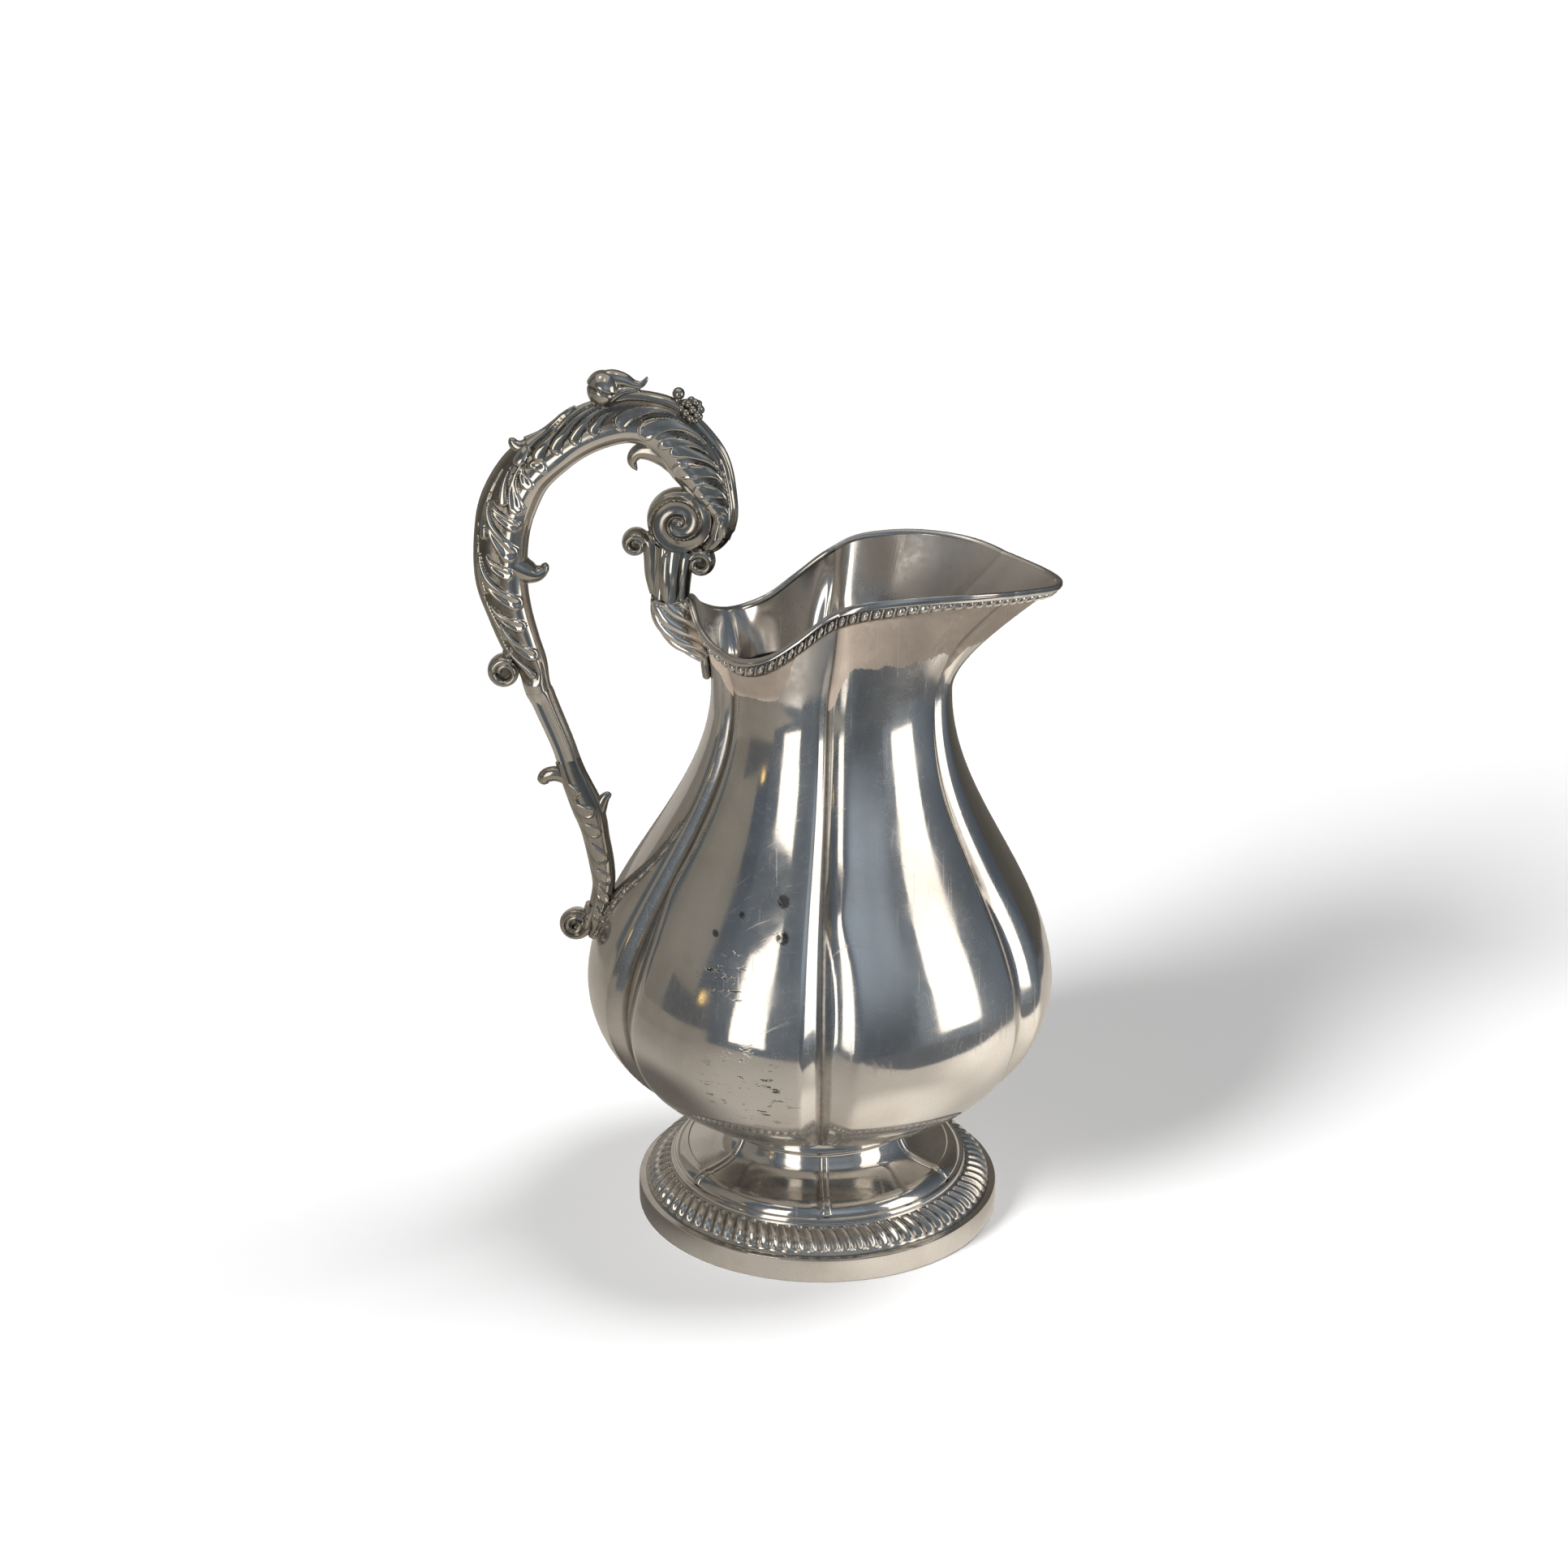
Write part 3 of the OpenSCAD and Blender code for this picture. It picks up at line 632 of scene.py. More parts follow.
@dataclass
class Body:
    """The raised jug: six lobes, a waisted neck and a wavy mouth with a spout.

    Sizes in millimetres, angles in degrees. A level goes from 0 to 1 under the belly, from 1 to 2 up the
    shoulder and from 2 to 3 up the mouth.
    """

    belly_r: float = 77.5
    collar_r: float = 32.0
    seat_z: float = 35.4
    belly_z: float = 84.0
    neck_z: float = 186.0
    neck_r: float = 36.2
    swell: float = 5.6
    shoulder_power: float = 0.93
    wall: float = 1.0
    lobes: int = 6
    crease: float = 1.0
    roundness: float = 3.2
    floor_w: float = 1.7
    steep_w: float = 5.0
    steep_k: float = 0.72
    soft_w: float = 10.5
    soft_k: float = 0.47
    soft_loss: float = 0.09
    soft_z: Pair = (132.0, 16.0)
    bulge: Triple = (100.0, 20.0, 0.25)
    pinch: Triple = (130.0, 10.0, 0.35)
    line: float = 0.3
    line_w: float = 0.9
    lean: Pair = (2.0, 5.0)
    beside: Pair = (4.5, 3.5)
    flare_power: float = 2.3
    spout_bend: float = 0.4
    side_r: float = 34.0
    spout_r: float = 74.5
    back_r: float = 42.0
    rise: float = 40.0
    share_step: float = 15.0
    rise_shares: tuple[float, ...] = (
        0.87, 0.92, 0.98, 1, 0.98, 0.93, 0.81, 0.63, 0.47, 0.41, 0.45, 0.57, 0.72,
    )
    spout_shares: tuple[float, ...] = (1, 0.77, 0.56, 0.35, 0.19, 0.08, 0)
    back_shares: tuple[float, ...] = (0, 0.08, 0.24, 0.47, 0.67, 0.85, 1)
    film_level: Pair = (2.14, 0.34)
    rear_film_level: Pair = (2.32, 0.9)
    matt_from: float = 89.0
    lobe_steps: int = 60
    rings: tuple[int, int, int] = (34, 58, 44)
    lip_rings: int = 12

    def angles(self) -> Array:
        """Angles round the body, closest together beside the creases.

        Returns:
            Angles, the last one a full turn after the first.
        """
        w = np.linspace(-1, 1, self.lobe_steps + 1)
        share = 0.3 * w + 0.7 * np.sin(np.pi / 2 * w)
        turns = [(k + share[:-1] / 2) * 360 / self.lobes for k in range(self.lobes)]
        return np.append(np.concatenate(turns), turns[0][0] + 360)

    def from_spout(self, theta: Array) -> Array:
        """Angle from the spout, from 0 to 180 on either side."""
        return np.abs(((theta + 540) % 360) - 180)

    def toward_spout(self, theta: Array) -> Array:
        """1 at the spout, 0 at the handle, smooth between."""
        return (1 + np.cos(np.radians(theta))) / 2

    def rim_rise(self, theta: Array) -> Array:
        """Height of the mouth's edge above the neck."""
        return self.rise * mirrored_curve(self.rise_shares, self.from_spout(theta) / self.share_step)

    def rim_r(self, theta: Array) -> Array:
        """Reach of the mouth's edge.

        Args:
            theta: angles.
        Returns:
            Radii.
        """
        side = self.from_spout(theta)
        front = mirrored_curve(self.spout_shares, np.minimum(side, 90) / self.share_step)
        back = mirrored_curve(self.back_shares, np.maximum(side - 90, 0) / self.share_step)
        front, back = lerp(self.side_r, self.spout_r, front), lerp(self.side_r, self.back_r, back)
        return np.where(side < 90, front, back)

    def lobe_share(self, theta: Array) -> Array:
        """Place across a lobe: 0 on its crown, 1 or -1 in the creases."""
        pitch = 360 / self.lobes
        return ((theta + 360 + pitch / 2) % pitch) / (pitch / 2) - 1

    def crease_gap(self, theta: Array, r: Array) -> Array:
        """Distance to the nearest crease along the surface."""
        return (1 - np.abs(self.lobe_share(theta))) * math.pi / self.lobes * r

    def valley(self, theta: Array, r: Array, z: Array) -> Array:
        """Depth of the rolled valley at a crease: flat floor, one flank steep, the other soft and uneven.

        Args:
            theta: angles.
            r: radii of the plain form.
            z: heights.
        Returns:
            Depths.
        """
        gap, scale = self.crease_gap(theta, r), r / self.belly_r
        steep_w, floor_w = self.steep_w * scale**1.1, self.floor_w * scale
        steep_d = self.steep_k * steep_w
        steep = steep_d * np.clip(1 - (gap - floor_w) / steep_w, 0, 1) ** 1.05
        upper = ease((z - self.soft_z[0]) / self.soft_z[1])
        wider, narrower = (gain * bell(z - at, reach) for at, reach, gain in (self.bulge, self.pinch))
        soft_w = self.soft_w * scale**0.5 * (1 + wider - narrower)
        soft_d = (self.soft_k - self.soft_loss * upper) * soft_w
        soft = soft_d * np.maximum(0, 1 - gap / soft_w) ** (1.3 + 0.7 * upper)
        flank = np.where(self.lobe_share(theta) > 0, steep, soft)
        return np.minimum(np.minimum(steep_d, soft_d), flank)

    def swept(self, theta: Array, level: float) -> Array:
        """Angle round the body once the creases have leant towards the spout.

        Args:
            theta: angles.
            level: place up the body.
        Returns:
            Angles: all creases lean a little at the neck, more in the mouth, those beside the spout most.
        """
        turn = np.radians(theta)
        mouth = float(ease(level - 2.0))
        lean = self.lean[0] * float(ease((level - 1.3) / 0.7)) + self.lean[1] * mouth
        beside = self.beside[0] * float(ease((level - 1.65) / 0.4)) + self.beside[1] * mouth
        return theta - lean * np.sin(turn) - beside * np.where(np.cos(turn) > 0, np.sin(2 * turn), 0.0)

    def outline(self, theta: Array, level: float) -> tuple[Array, Array]:
        """Radius and height of the outside.

        Args:
            theta: angles.
            level: place up the body.
        Returns:
            Radii and heights.
        """
        turn = self.swept(theta, level)
        neck = self.neck_r + self.swell * self.toward_spout(turn) ** 2
        u = level - math.floor(min(level, 2))
        if level < 1:
            seat = math.asin(self.collar_r / self.belly_r)
            swing = lerp(seat, math.pi / 2, u)
            drop = (self.belly_z - self.seat_z) / math.cos(seat) * math.cos(swing)
            r = np.full_like(theta, self.belly_r * math.sin(swing))
            z = np.full_like(theta, self.belly_z - drop)
        elif level < 2:
            fall = (1 + math.cos(math.pi * u**self.shoulder_power)) / 2
            r = lerp(neck, self.belly_r, fall)
            z = np.full_like(theta, self.belly_z + (self.neck_z - self.belly_z) * u)
        else:
            bend = self.spout_bend
            spout = (math.hypot(u, bend) - bend) / (math.hypot(1, bend) - bend)
            share = lerp(u**self.flare_power, spout, self.toward_spout(turn) ** 8)
            r = lerp(neck, self.rim_r(turn), share)
            z = self.neck_z + self.rim_rise(turn) * u
        fade = float(ease((2.98 - level) / 0.8)) * float(ease(level / 0.15))
        chased = self.line * np.maximum(0, 1 - self.crease_gap(theta, r) / self.line_w)
        lobed = self.crease * np.abs(self.lobe_share(theta)) ** self.roundness
        return r - lobed - (self.valley(theta, r, z) + chased) * fade, z

    def frame(self, theta: Array, level: float) -> tuple[Array, Array, Array]:
        """Place on the outside and the directions out of the wall and up along it, as radius and height.

        Args:
            theta: angles.
            level: place up the body.
        Returns:
            Places, outward directions and upward directions.
        """
        step = 0.01
        at = np.stack(self.outline(theta, level), -1)
        above = np.stack(self.outline(theta, min(level + step, 3)), -1)
        below = np.stack(self.outline(theta, max(level - step, 0)), -1)
        up = above - below
        up /= np.linalg.norm(up, axis=-1, keepdims=True)
        return at, np.stack([up[:, 1], -up[:, 0]], -1), up

    def film_start(self, theta: Array) -> Array:
        """Level above which a milky film lies on the neck: low beside the creases, higher on the crowns.

        Args:
            theta: angles.
        Returns:
            Levels.
        """
        share = self.lobe_share(theta)
        start, gain = self.film_level
        start = start + gain * ease((1 - np.abs(share)) / 0.25)
        rear, gain = self.rear_film_level
        inward = np.where(theta % 360 > 180, share, -share)
        return np.where(self.rear(theta), rear + gain * ease((inward - 0.1) / 0.35), start)

    def rear(self, theta: Array) -> Array:
        """Whether an angle is on one of the two lobes beside the handle's."""
        return np.abs(self.from_spout(theta) - 120) < 30

    def inside_paint(self, theta: Array, level: float, r: Array) -> dict[str, Array]:
        """Tarnish inside: rubbed bright below the handle, matt in the spout.

        Args:
            theta: angles.
            level: place up the body.
            r: radii of the outside.
        Returns:
            Vertex values by name.
        """
        from_edge = self.matt_from - self.from_spout(theta)
        mouth = float(ease((level - 2.25) / 0.5))
        return {
            "hollow": 0.2 * bell(self.crease_gap(theta, r), 0.8),
            "frost": mouth * (0.12 + 0.8 * ease(from_edge / 16)),
            "film": 0 * theta,
            "inside": 1 - ease(from_edge / 25),
        }

    def outside_paint(self, theta: Array, level: float, r: Array) -> dict[str, Array]:
        """Tarnish outside: brown floors in the creases, frost and a milky film under the mouth.

        Args:
            theta: angles.
            level: place up the body.
            r: radii of the outside.
        Returns:
            Vertex values by name.
        """
        gap = self.crease_gap(theta, r)
        floor = np.where(self.lobe_share(theta) > 0, self.floor_w, self.floor_w + 1.4) * r / self.belly_r
        upper = 0.4 * float(ease((level - 2.15) / 0.3))
        frost = upper * (1 + 1.5 * self.rear(theta)) + 0.5 * bell(gap, 0.8)
        return {
            "hollow": np.minimum(1, 0.3 * bell(gap, 0.35) + 0.55 * ease((floor + 0.5 - gap) / 0.8)),
            "frost": np.minimum(1, frost),
            "film": ease((level - self.film_start(theta)) / 0.25 + 0.5),
            "inside": 0 * theta,
        }

    def build(self) -> Mesh:
        """Makes the wall: outside, edge and inside in one skin.

        Returns:
            The piece.
        """
        theta = self.angles()
        levels = np.concatenate([np.linspace(k, k + 1, n + 1)[(k > 0) :] for k, n in enumerate(self.rings)])
        inner = np.concatenate([levels[: -self.lip_rings : 2], levels[-self.lip_rings :]])[::-1]
        rows, tones = [], []
        for run, sunk, paint in ((levels, 0.0, self.outside_paint), (inner, self.wall, self.inside_paint)):
            for level in map(float, run):
                at, out, _ = self.frame(theta, level)
                rows.append(spun(self.swept(theta, level), at - sunk * out))
                tones.append(paint(theta, level, at[:, 0]))
        axis = np.array([0, 0, 1])
        grid = np.stack([rows[0] * axis, *rows, rows[-1] * axis])
        tones = [tones[0], *tones, tones[-1]]
        return Bench.skin("body", grid, {key: np.stack([tone[key] for tone in tones]) for key in tones[0]})


@dataclass
class Lip:
    """Half-round wire and gadroon band round the mouth. Sizes in millimetres."""

    body: Body
    wire_h: float = 1.8
    wire_groove: float = 0.22
    band_h: float = 4.0
    band_t: float = 1.4
    gap: float = 0.15
    gadroons: int = 84
    steps: int = 18
    band_rows: int = 17
    slant: float = 0.22

    def edge(self, theta: Array) -> tuple[Array, Array, Array]:
        """The mouth's edge and its directions."""
        return self.body.frame(theta, 3.0)

    def spin(self, theta: Array, rz: Array) -> Array:
        """Turns radius and height at the mouth's edge into a place."""
        return spun(self.body.swept(theta, 3.0), rz)

    def even_angles(self, count: int) -> Array:
        """Angles that share the mouth's edge into even lengths.

        Args:
            count: number of lengths.
        Returns:
            Angles, from 0 to 360.
        """
        fine = np.linspace(0, 360, 4321)
        line = self.spin(fine, self.edge(fine)[0])
        length = np.concatenate([[0], np.cumsum(np.linalg.norm(np.diff(line, axis=0), axis=1))])
        return np.interp(np.linspace(0, length[-1], count + 1), length, fine)

    def build_wire(self) -> Mesh:
        """Makes the polished wire on the edge, with a fine groove along it.

        Returns:
            The piece.
        """
        theta = self.body.angles()
        at, out, up = self.edge(theta)
        half = (self.body.wall + self.band_t) / 2
        middle = at + out * (self.band_t - self.body.wall) / 2 + up * self.gap
        around = np.radians(np.concatenate([np.linspace(-12, 192, 29), np.linspace(204, 336, 5)]))
        rows = []
        for a in np.append(around, around[0] + 2 * math.pi):
            groove = self.wire_groove * float(bell(a - math.radians(118), 0.16))
            lift = self.wire_h * (max(math.sin(a), -0.2) - groove)
            rows.append(self.spin(theta, middle - out * half * math.cos(a) + up * lift))
        return Bench.skin("lip_wire", np.stack(rows), {"hollow": 0.05}, sharp=50.0)

    def build_band(self) -> Mesh:
        """Makes the stamped band: a drop between two slanted bars, again and again, dark in between.

        Returns:
            The piece.
        """
        theta = self.even_angles(self.gadroons * self.steps)
        at, out, up = self.edge(theta)
        step = np.arange(len(theta)) / self.steps
        levels = np.concatenate([[0], np.linspace(0, 1, self.band_rows), [1]])
        rows, hollow = [], []
        for i, v in enumerate(levels):
            f = (step + self.slant * v) % 1.0
            drop = np.sqrt(np.maximum(0, 1 - ((f - 0.5) / 0.33) ** 2 - ((v - 0.46) / 0.44) ** 2))
            post = bell(np.minimum(f, 1 - f), 0.13) * float(ease((v + 0.02) / 0.12) * ease((1.02 - v) / 0.2))
            crown = np.maximum(drop, 0.6 * post)
            against_wall = i in (0, len(levels) - 1)
            t = 0 * crown if against_wall else self.band_t * (0.12 + crown)
            down = 2 * self.gap + (self.band_h - 2 * self.gap) * v
            rows.append(self.spin(theta, at - up * down + out * (2 * self.gap + t)[:, None]))
            hollow.append(np.clip(1.1 - 1.7 * crown, 0, 1))
        paint = {"hollow": np.stack([*hollow, hollow[0]])}
        return Bench.skin("lip_band", np.stack([*rows, rows[0]]), paint)


@dataclass
class Foot:
    """Base band, ring of slanted gadroons, panelled dome and collar. Sizes in millimetres."""

    foot_r: float = 61.0
    wall: float = 1.6
    band_h: float = 8.5
    ring_r: float = 58.6
    step_r: float = 50.2
    bore_r: float = 47.85
    gadroon_z: float = 15.7
    dome_z: float = 31.0
    seat_z: float = 35.4
    collar_r: float = 32.0
    gadroons: int = 84
    steps: int = 14
    slant: float = 0.8
    depth: float = 1.25
    bulge: float = 1.2
    ribs: int = 6
    rib_turn: float = 3.0
    rib_w: float = 4.2
    rib_h: float = 0.9
    ovolo: tuple[Pair, ...] = ((48.75, 17.5), (48.3, 18.5), (47.3, 19.7), (46.0, 20.6), (44.3, 21.2))
    sweep: tuple[Pair, ...] = (
        (43.9, 21.0), (42.0, 21.35), (39.5, 21.95), (37.0, 22.8), (34.5, 24.0),
        (32.8, 25.4), (31.7, 26.9), (30.9, 28.4), (30.2, 29.7), (29.7, 31.0),
    )

    def dome_line(self, u: Array) -> Array:
        """Outside of the dome: 0 to 1 up the flat quarter round, 1 to 2 up the hollow sweep to the collar.

        Args:
            u: places along the line.
        Returns:
            Radii and heights.
        """
        low = row_curve(self.ovolo, np.clip(u, 0, 1) * (len(self.ovolo) - 1))
        high = row_curve(self.sweep, np.clip(u - 1, 0, 1) * (len(self.sweep) - 1))
        return np.where((u < 1)[:, None], low, high)

    def build_band(self) -> Mesh:
        """Turns the base band, with eased edges and a ledge inside its top.

        Returns:
            The piece.
        """
        r, w, h = self.foot_r, self.wall, self.band_h
        line = [(r - w, 0.0), (r - 0.5, 0.0), (r - 0.12, 0.15), (r, 0.5), (r + 0.1, h / 2), (r, h - 0.6)]
        line += [(r - 0.15, h - 0.2), (r - 0.6, h), (self.bore_r, h), (self.bore_r, h - w), (r - w, h - w)]
        return Bench.turned("foot_band", line)

    def build_ring(self) -> Mesh:
        """Makes the ring of slanted gadroons, each a rounded rib between dark furrows.

        Returns:
            The piece.
        """
        cols = np.arange(self.gadroons * self.steps + 1)
        theta = 360 * cols / (self.gadroons * self.steps)
        base, top = self.band_h, self.gadroon_z
        under = ((self.bore_r, base), (self.ring_r, base), (self.ring_r + 0.15, base + 0.4))
        over = ((self.step_r + 0.5, top - 0.5), (self.step_r + 0.2, top), (self.bore_r, top))
        plain_under, plain_over = (
            [spun(theta, np.tile(rz, (len(theta), 1))) for rz in line] for line in (under, over)
        )
        low = np.array([self.ring_r - 0.5, base + 0.9])
        chord = np.array([self.step_r + 0.7, top - 0.4]) - low
        out = np.array([chord[1], -chord[0]]) / np.linalg.norm(chord)
        rows, hollow = [], []
        for v in np.linspace(0, 1, 22):
            f = (cols / self.steps + self.slant * max(0.0, v - 0.1) ** 1.6) % 1.0
            crown = (0.5 - 0.5 * np.cos(2 * math.pi * f)) ** 1.3
            ends = float(ease(v / 0.14) * ease((1 - v) / 0.1))
            push = self.depth * ends * (crown - 0.55) + self.bulge * math.sin(math.pi * v**0.8)
            rows.append(spun(theta, low + chord * v + push[:, None] * out))
            hollow.append(np.clip(0.55 - crown, 0, 1) * (0.3 + 0.7 * ends) + 0.1 * (1 - ends))
        grid = np.stack([*plain_under, *rows, *plain_over, plain_under[0]])
        tones = [0 * theta + 0.5] * len(under) + hollow + [0 * theta + 0.2] * len(over) + [0 * theta + 0.5]
        return Bench.skin("gadroon_ring", grid, {"hollow": np.stack(tones)}, sharp=50.0)

    def build_dome(self) -> Mesh:
        """Turns the dome with its fillet, bead, quarter round and concave sweep.

        Returns:
            The piece.
        """
        step_r, z, wall = self.step_r, self.gadroon_z, self.wall
        inner = self.collar_r - 3 * wall
        bead = ((0, 0), (0.3, 0.25), (0.15, 0.95), (-0.25, 1.6), (-0.8, 1.85), (-1.3, 1.75))
        line = [(step_r + out, z + up) for out, up in bead]
        for run in (np.linspace(0.0, 0.999, 16), np.linspace(1.0, 2.0, 24)):
            line += [tuple(p) for p in self.dome_line(run)]
        line += [(inner, self.dome_z), (inner, self.dome_z - wall)]
        line += [(r - 1.2, up - wall) for r, up in self.dome_line(np.linspace(1.9, 1.0, 8))]
        line += [(step_r - wall - 1.4, z + 0.8), (step_r - wall, z)]
        return Bench.turned("foot_dome", line)

    def build_ribs(self) -> Mesh:
        """Lays a half-round rib along each seam of the dome, from the collar down over the quarter round.

        Returns:
            The piece.
        """
        u = np.concatenate([np.linspace(0.12, 0.97, 14), np.linspace(1.03, 1.97, 20)])
        line = self.dome_line(u)
        out = across(np.gradient(line, axis=0))
        ends = np.sqrt(np.clip(np.minimum(u - 0.1, 1.99 - u) / 0.08, 0, 1))
        half_w = lerp(self.rib_w, self.rib_w * 0.7, u / 2) / 2 * ends
        parts = []
        for k in range(self.ribs):
            turn = math.radians((k + 0.5) * 360 / self.ribs + self.rib_turn)
            rows = []
            for a in np.linspace(-math.pi / 2, 3 * math.pi / 2, 13):
                lift = np.maximum(math.sin(a), -0.25) * self.rib_h * ends + 0.1
                side = math.cos(a) * half_w
                r, z = (line + out * lift[:, None]).T
                x = r * math.cos(turn) - side * math.sin(turn)
                y = r * math.sin(turn) + side * math.cos(turn)
                rows.append(np.stack([x, y, z], -1))
            parts.append(Bench.skin(f"rib_{k}", np.stack(rows), {"hollow": 0.1}))
        return Bench.join("foot_ribs", parts)

    def build_collar(self) -> Mesh:
        """Turns the collar: a small bead at its foot and a hollow flare above it.

        Returns:
            The piece.
        """
        low, high, r = self.dome_z, self.seat_z, self.collar_r
        inner = r - 3 * self.wall
        line = [(inner, low), (r - 0.3, low), (r + 0.2, low + 0.15), (r + 0.2, low + 0.45)]
        line += [(r - 0.25, low + 0.7), (r - 0.6, low + 1.2), (r - 0.95, low + 2.0), (r - 1.15, low + 3.0)]
        line += [(r - 1.2, high), (inner, high)]
        return Bench.turned("foot_collar", line)


@dataclass(frozen=True)
class Leaflet:
    """One leaflet of an acanthus leaf: it runs beside the midrib and bends out to a round tip.

    Places are a row along the handle and an angle from the outer side, in degrees; width and height are in
    millimetres. A dish of half the height is scooped round, a lesser one has a flat floor.
    """

    stem: Pair
    tip: Pair
    width: float
    height: float = 1.5
    dish: float = 0.42
    steps: int = 18

    def path(self) -> tuple[Array, Array, Array]:
        """Shares along the leaflet with their rows and angles, in radians.

        Returns:
            Shares, rows and angles.
        """
        u = np.linspace(0, 1, self.steps)
        turn = np.radians(lerp(self.stem[1], self.tip[1], u**1.7))
        return u, lerp(self.stem[0], self.tip[0], u), turn

    def swell(self, u: Array, line: Array, s: Array, c: Array) -> Array:
        """Height of the leaflet above the handle's unrolled skin.

        Args:
            u: shares along the leaflet.
            line: its places on the unrolled skin, along and round the handle.
            s: places along the handle, one row each.
            c: places round it, a column for each side.
        Returns:
            Heights.
        """
        wide, high = self.width * (0.25 + u**1.2), self.height * (0.4 + 0.6 * u)
        dish = self.dish * ease((u - 0.35) / 0.4)
        best = np.full(c.shape, 9.0)
        crown, sunk = np.zeros_like(best), np.zeros_like(best)
        for i in range(len(u) - 1):
            (ps, pc), (es, ec) = line[i], line[i + 1] - line[i]
            k = np.clip(((s - ps) * es + (c - pc) * ec) / (es * es + ec * ec), 0, 1)
            q = np.hypot(s - ps - k * es, c - pc - k * ec) / lerp(wide[i], wide[i + 1], k)
            crown = np.where(q < best, lerp(high[i], high[i + 1], k), crown)
            sunk = np.where(q < best, lerp(dish[i], dish[i + 1], k), sunk)
            best = np.minimum(best, q)
        scoop = bell(best, 0.5) if self.dish >= 0.5 else ease((0.85 - best) / 0.4)
        return crown * (np.sqrt(np.maximum(0, 1 - best**3.2)) - sunk * scoop)


@dataclass(frozen=True)
class Tip:
    """A curled leaf tip: place in the handle's plane and half width of each point of its line."""

    rows: tuple[Triple, ...]
    flat: float = 0.85
    y: float = 0.0

    def build(self) -> Mesh:
        """Makes the tip, drawn in to a round end.

        Returns:
            The piece.
        """
        t = np.linspace(0, len(self.rows) - 1, 34)
        row = row_curve(self.rows, t)
        w = row[:, 2] * np.sqrt(np.clip((t[-1] - t) / 0.35, 0, 1))
        side = across(np.gradient(row[:, :2], axis=0))
        return Bench.bar("tip", row[:, :2], side, (w, w * self.flat), 28, hollow=0.12, y=self.y)


@dataclass(frozen=True)
class Curl:
    """A rolled leaf end: a bar that winds inwards over a dark hollow.

    Place is the middle in the handle's plane and the outer radius, in millimetres, as are the half depth
    and the bar's half thickness; start is the angle at which the bar comes in; turns are negative for
    clockwise; inward and core are the shares of the radius that it winds in and of the depth that the
    hollow's floor has.
    """

    place: Triple
    depth: float
    thick: float
    start: float
    turns: float
    inward: float = 0.62
    core: float = 0.55
    y: float = 0.0

    def build(self) -> Mesh:
        """Makes the bar and the floor of its hollow.

        Returns:
            The piece.
        """
        x, z, r = self.place
        s = np.linspace(0, 1, 90)
        turn = np.radians(self.start + 360 * self.turns * s)
        out = np.stack([np.cos(turn), np.sin(turn)], -1)
        radius = (r - self.thick) * (1 - self.inward * s**1.6)
        ends = np.sqrt(np.clip((1 - s) / 0.06, 0.02, 1))
        half = (self.thick * (1 - 0.3 * s) * ends, self.depth * (1 - 0.12 * s) * ends)
        bar = Bench.bar("curl", np.array([x, z]) + out * radius[:, None], out, half, 28, hollow=0.1, y=self.y)
        v, b = np.linspace(0, math.pi, 14)[:, None], np.linspace(0, 2 * math.pi, 37)
        wide = np.sin(v) ** 0.6 * (r - self.thick) * 0.95
        deep = self.y - self.core * self.depth * np.cos(v) + 0 * b
        grid = np.stack([x + wide * np.cos(b), deep, z + wide * np.sin(b)], -1)
        return Bench.join("curl", [bar, Bench.skin("floor", grid, {"hollow": 0.85})])


@dataclass(frozen=True)
class Drum:
    """A rolled scroll: a rounded drum whose faces carry a raised spiral line.

    Place is the middle in the handle's plane and the radius, in millimetres, as is the half depth; start
    is the angle at which the spiral meets the rim; pitch is the share of the radius that it winds in a turn.
    """

    place: Triple
    depth: float
    start: float
    pitch: float
    clockwise: bool = True

    def build(self) -> Mesh:
        """Makes the drum.

        Returns:
            The piece.
        """
        face_rings, rim_rings = 52, 9
        b = np.linspace(0, 2 * math.pi, 145)
        face, flat = np.linspace(0, 1, face_rings), np.ones(face_rings)
        rho = np.concatenate([face, np.ones(rim_rings), face[::-1]])[:, None]
        y = np.concatenate([-flat, np.linspace(-0.8, 0.8, rim_rings), flat])[:, None]
        turn = (b - math.radians(self.start)) / (2 * math.pi) * (-1 if self.clockwise else 1)
        part = ((0.98 - rho) / self.pitch - turn) % 1.0
        ridge = bell(np.minimum(part, 1 - part) * self.pitch, 0.045) * ease((rho - 0.06) / 0.1)
        boss = np.sqrt(np.maximum(0, 1 - (rho / 0.16) ** 2))
        height = np.maximum(0.42 - 0.36 * np.sin(math.pi * part) + 0.62 * ridge, 0.9 * boss)
        deep = (self.depth - 2.2 + 2.4 * height) * np.sqrt(np.maximum(0.2, 1 - 0.45 * rho**7))
        wide = self.place[2] * rho * (1 + 0.04 * (1 - y * y) * (rho > 0.99))
        grid = np.stack([self.place[0] + wide * np.cos(b), y * deep, self.place[1] + wide * np.sin(b)], -1)
        hollow = np.clip(0.36 * (1 - 1.3 * ridge) * (1 - boss) * (rho < 0.97), 0.04, 0.36)
        return Bench.skin("drum", grid, {"hollow": hollow, "inside": 0.2})


CALYX_LEAF = ((-50.2, 216.0, 1.8), (-50.2, 222.0, 2.4), (-50.0, 228.0, 2.2), (-49.6, 232.0, 1.2))

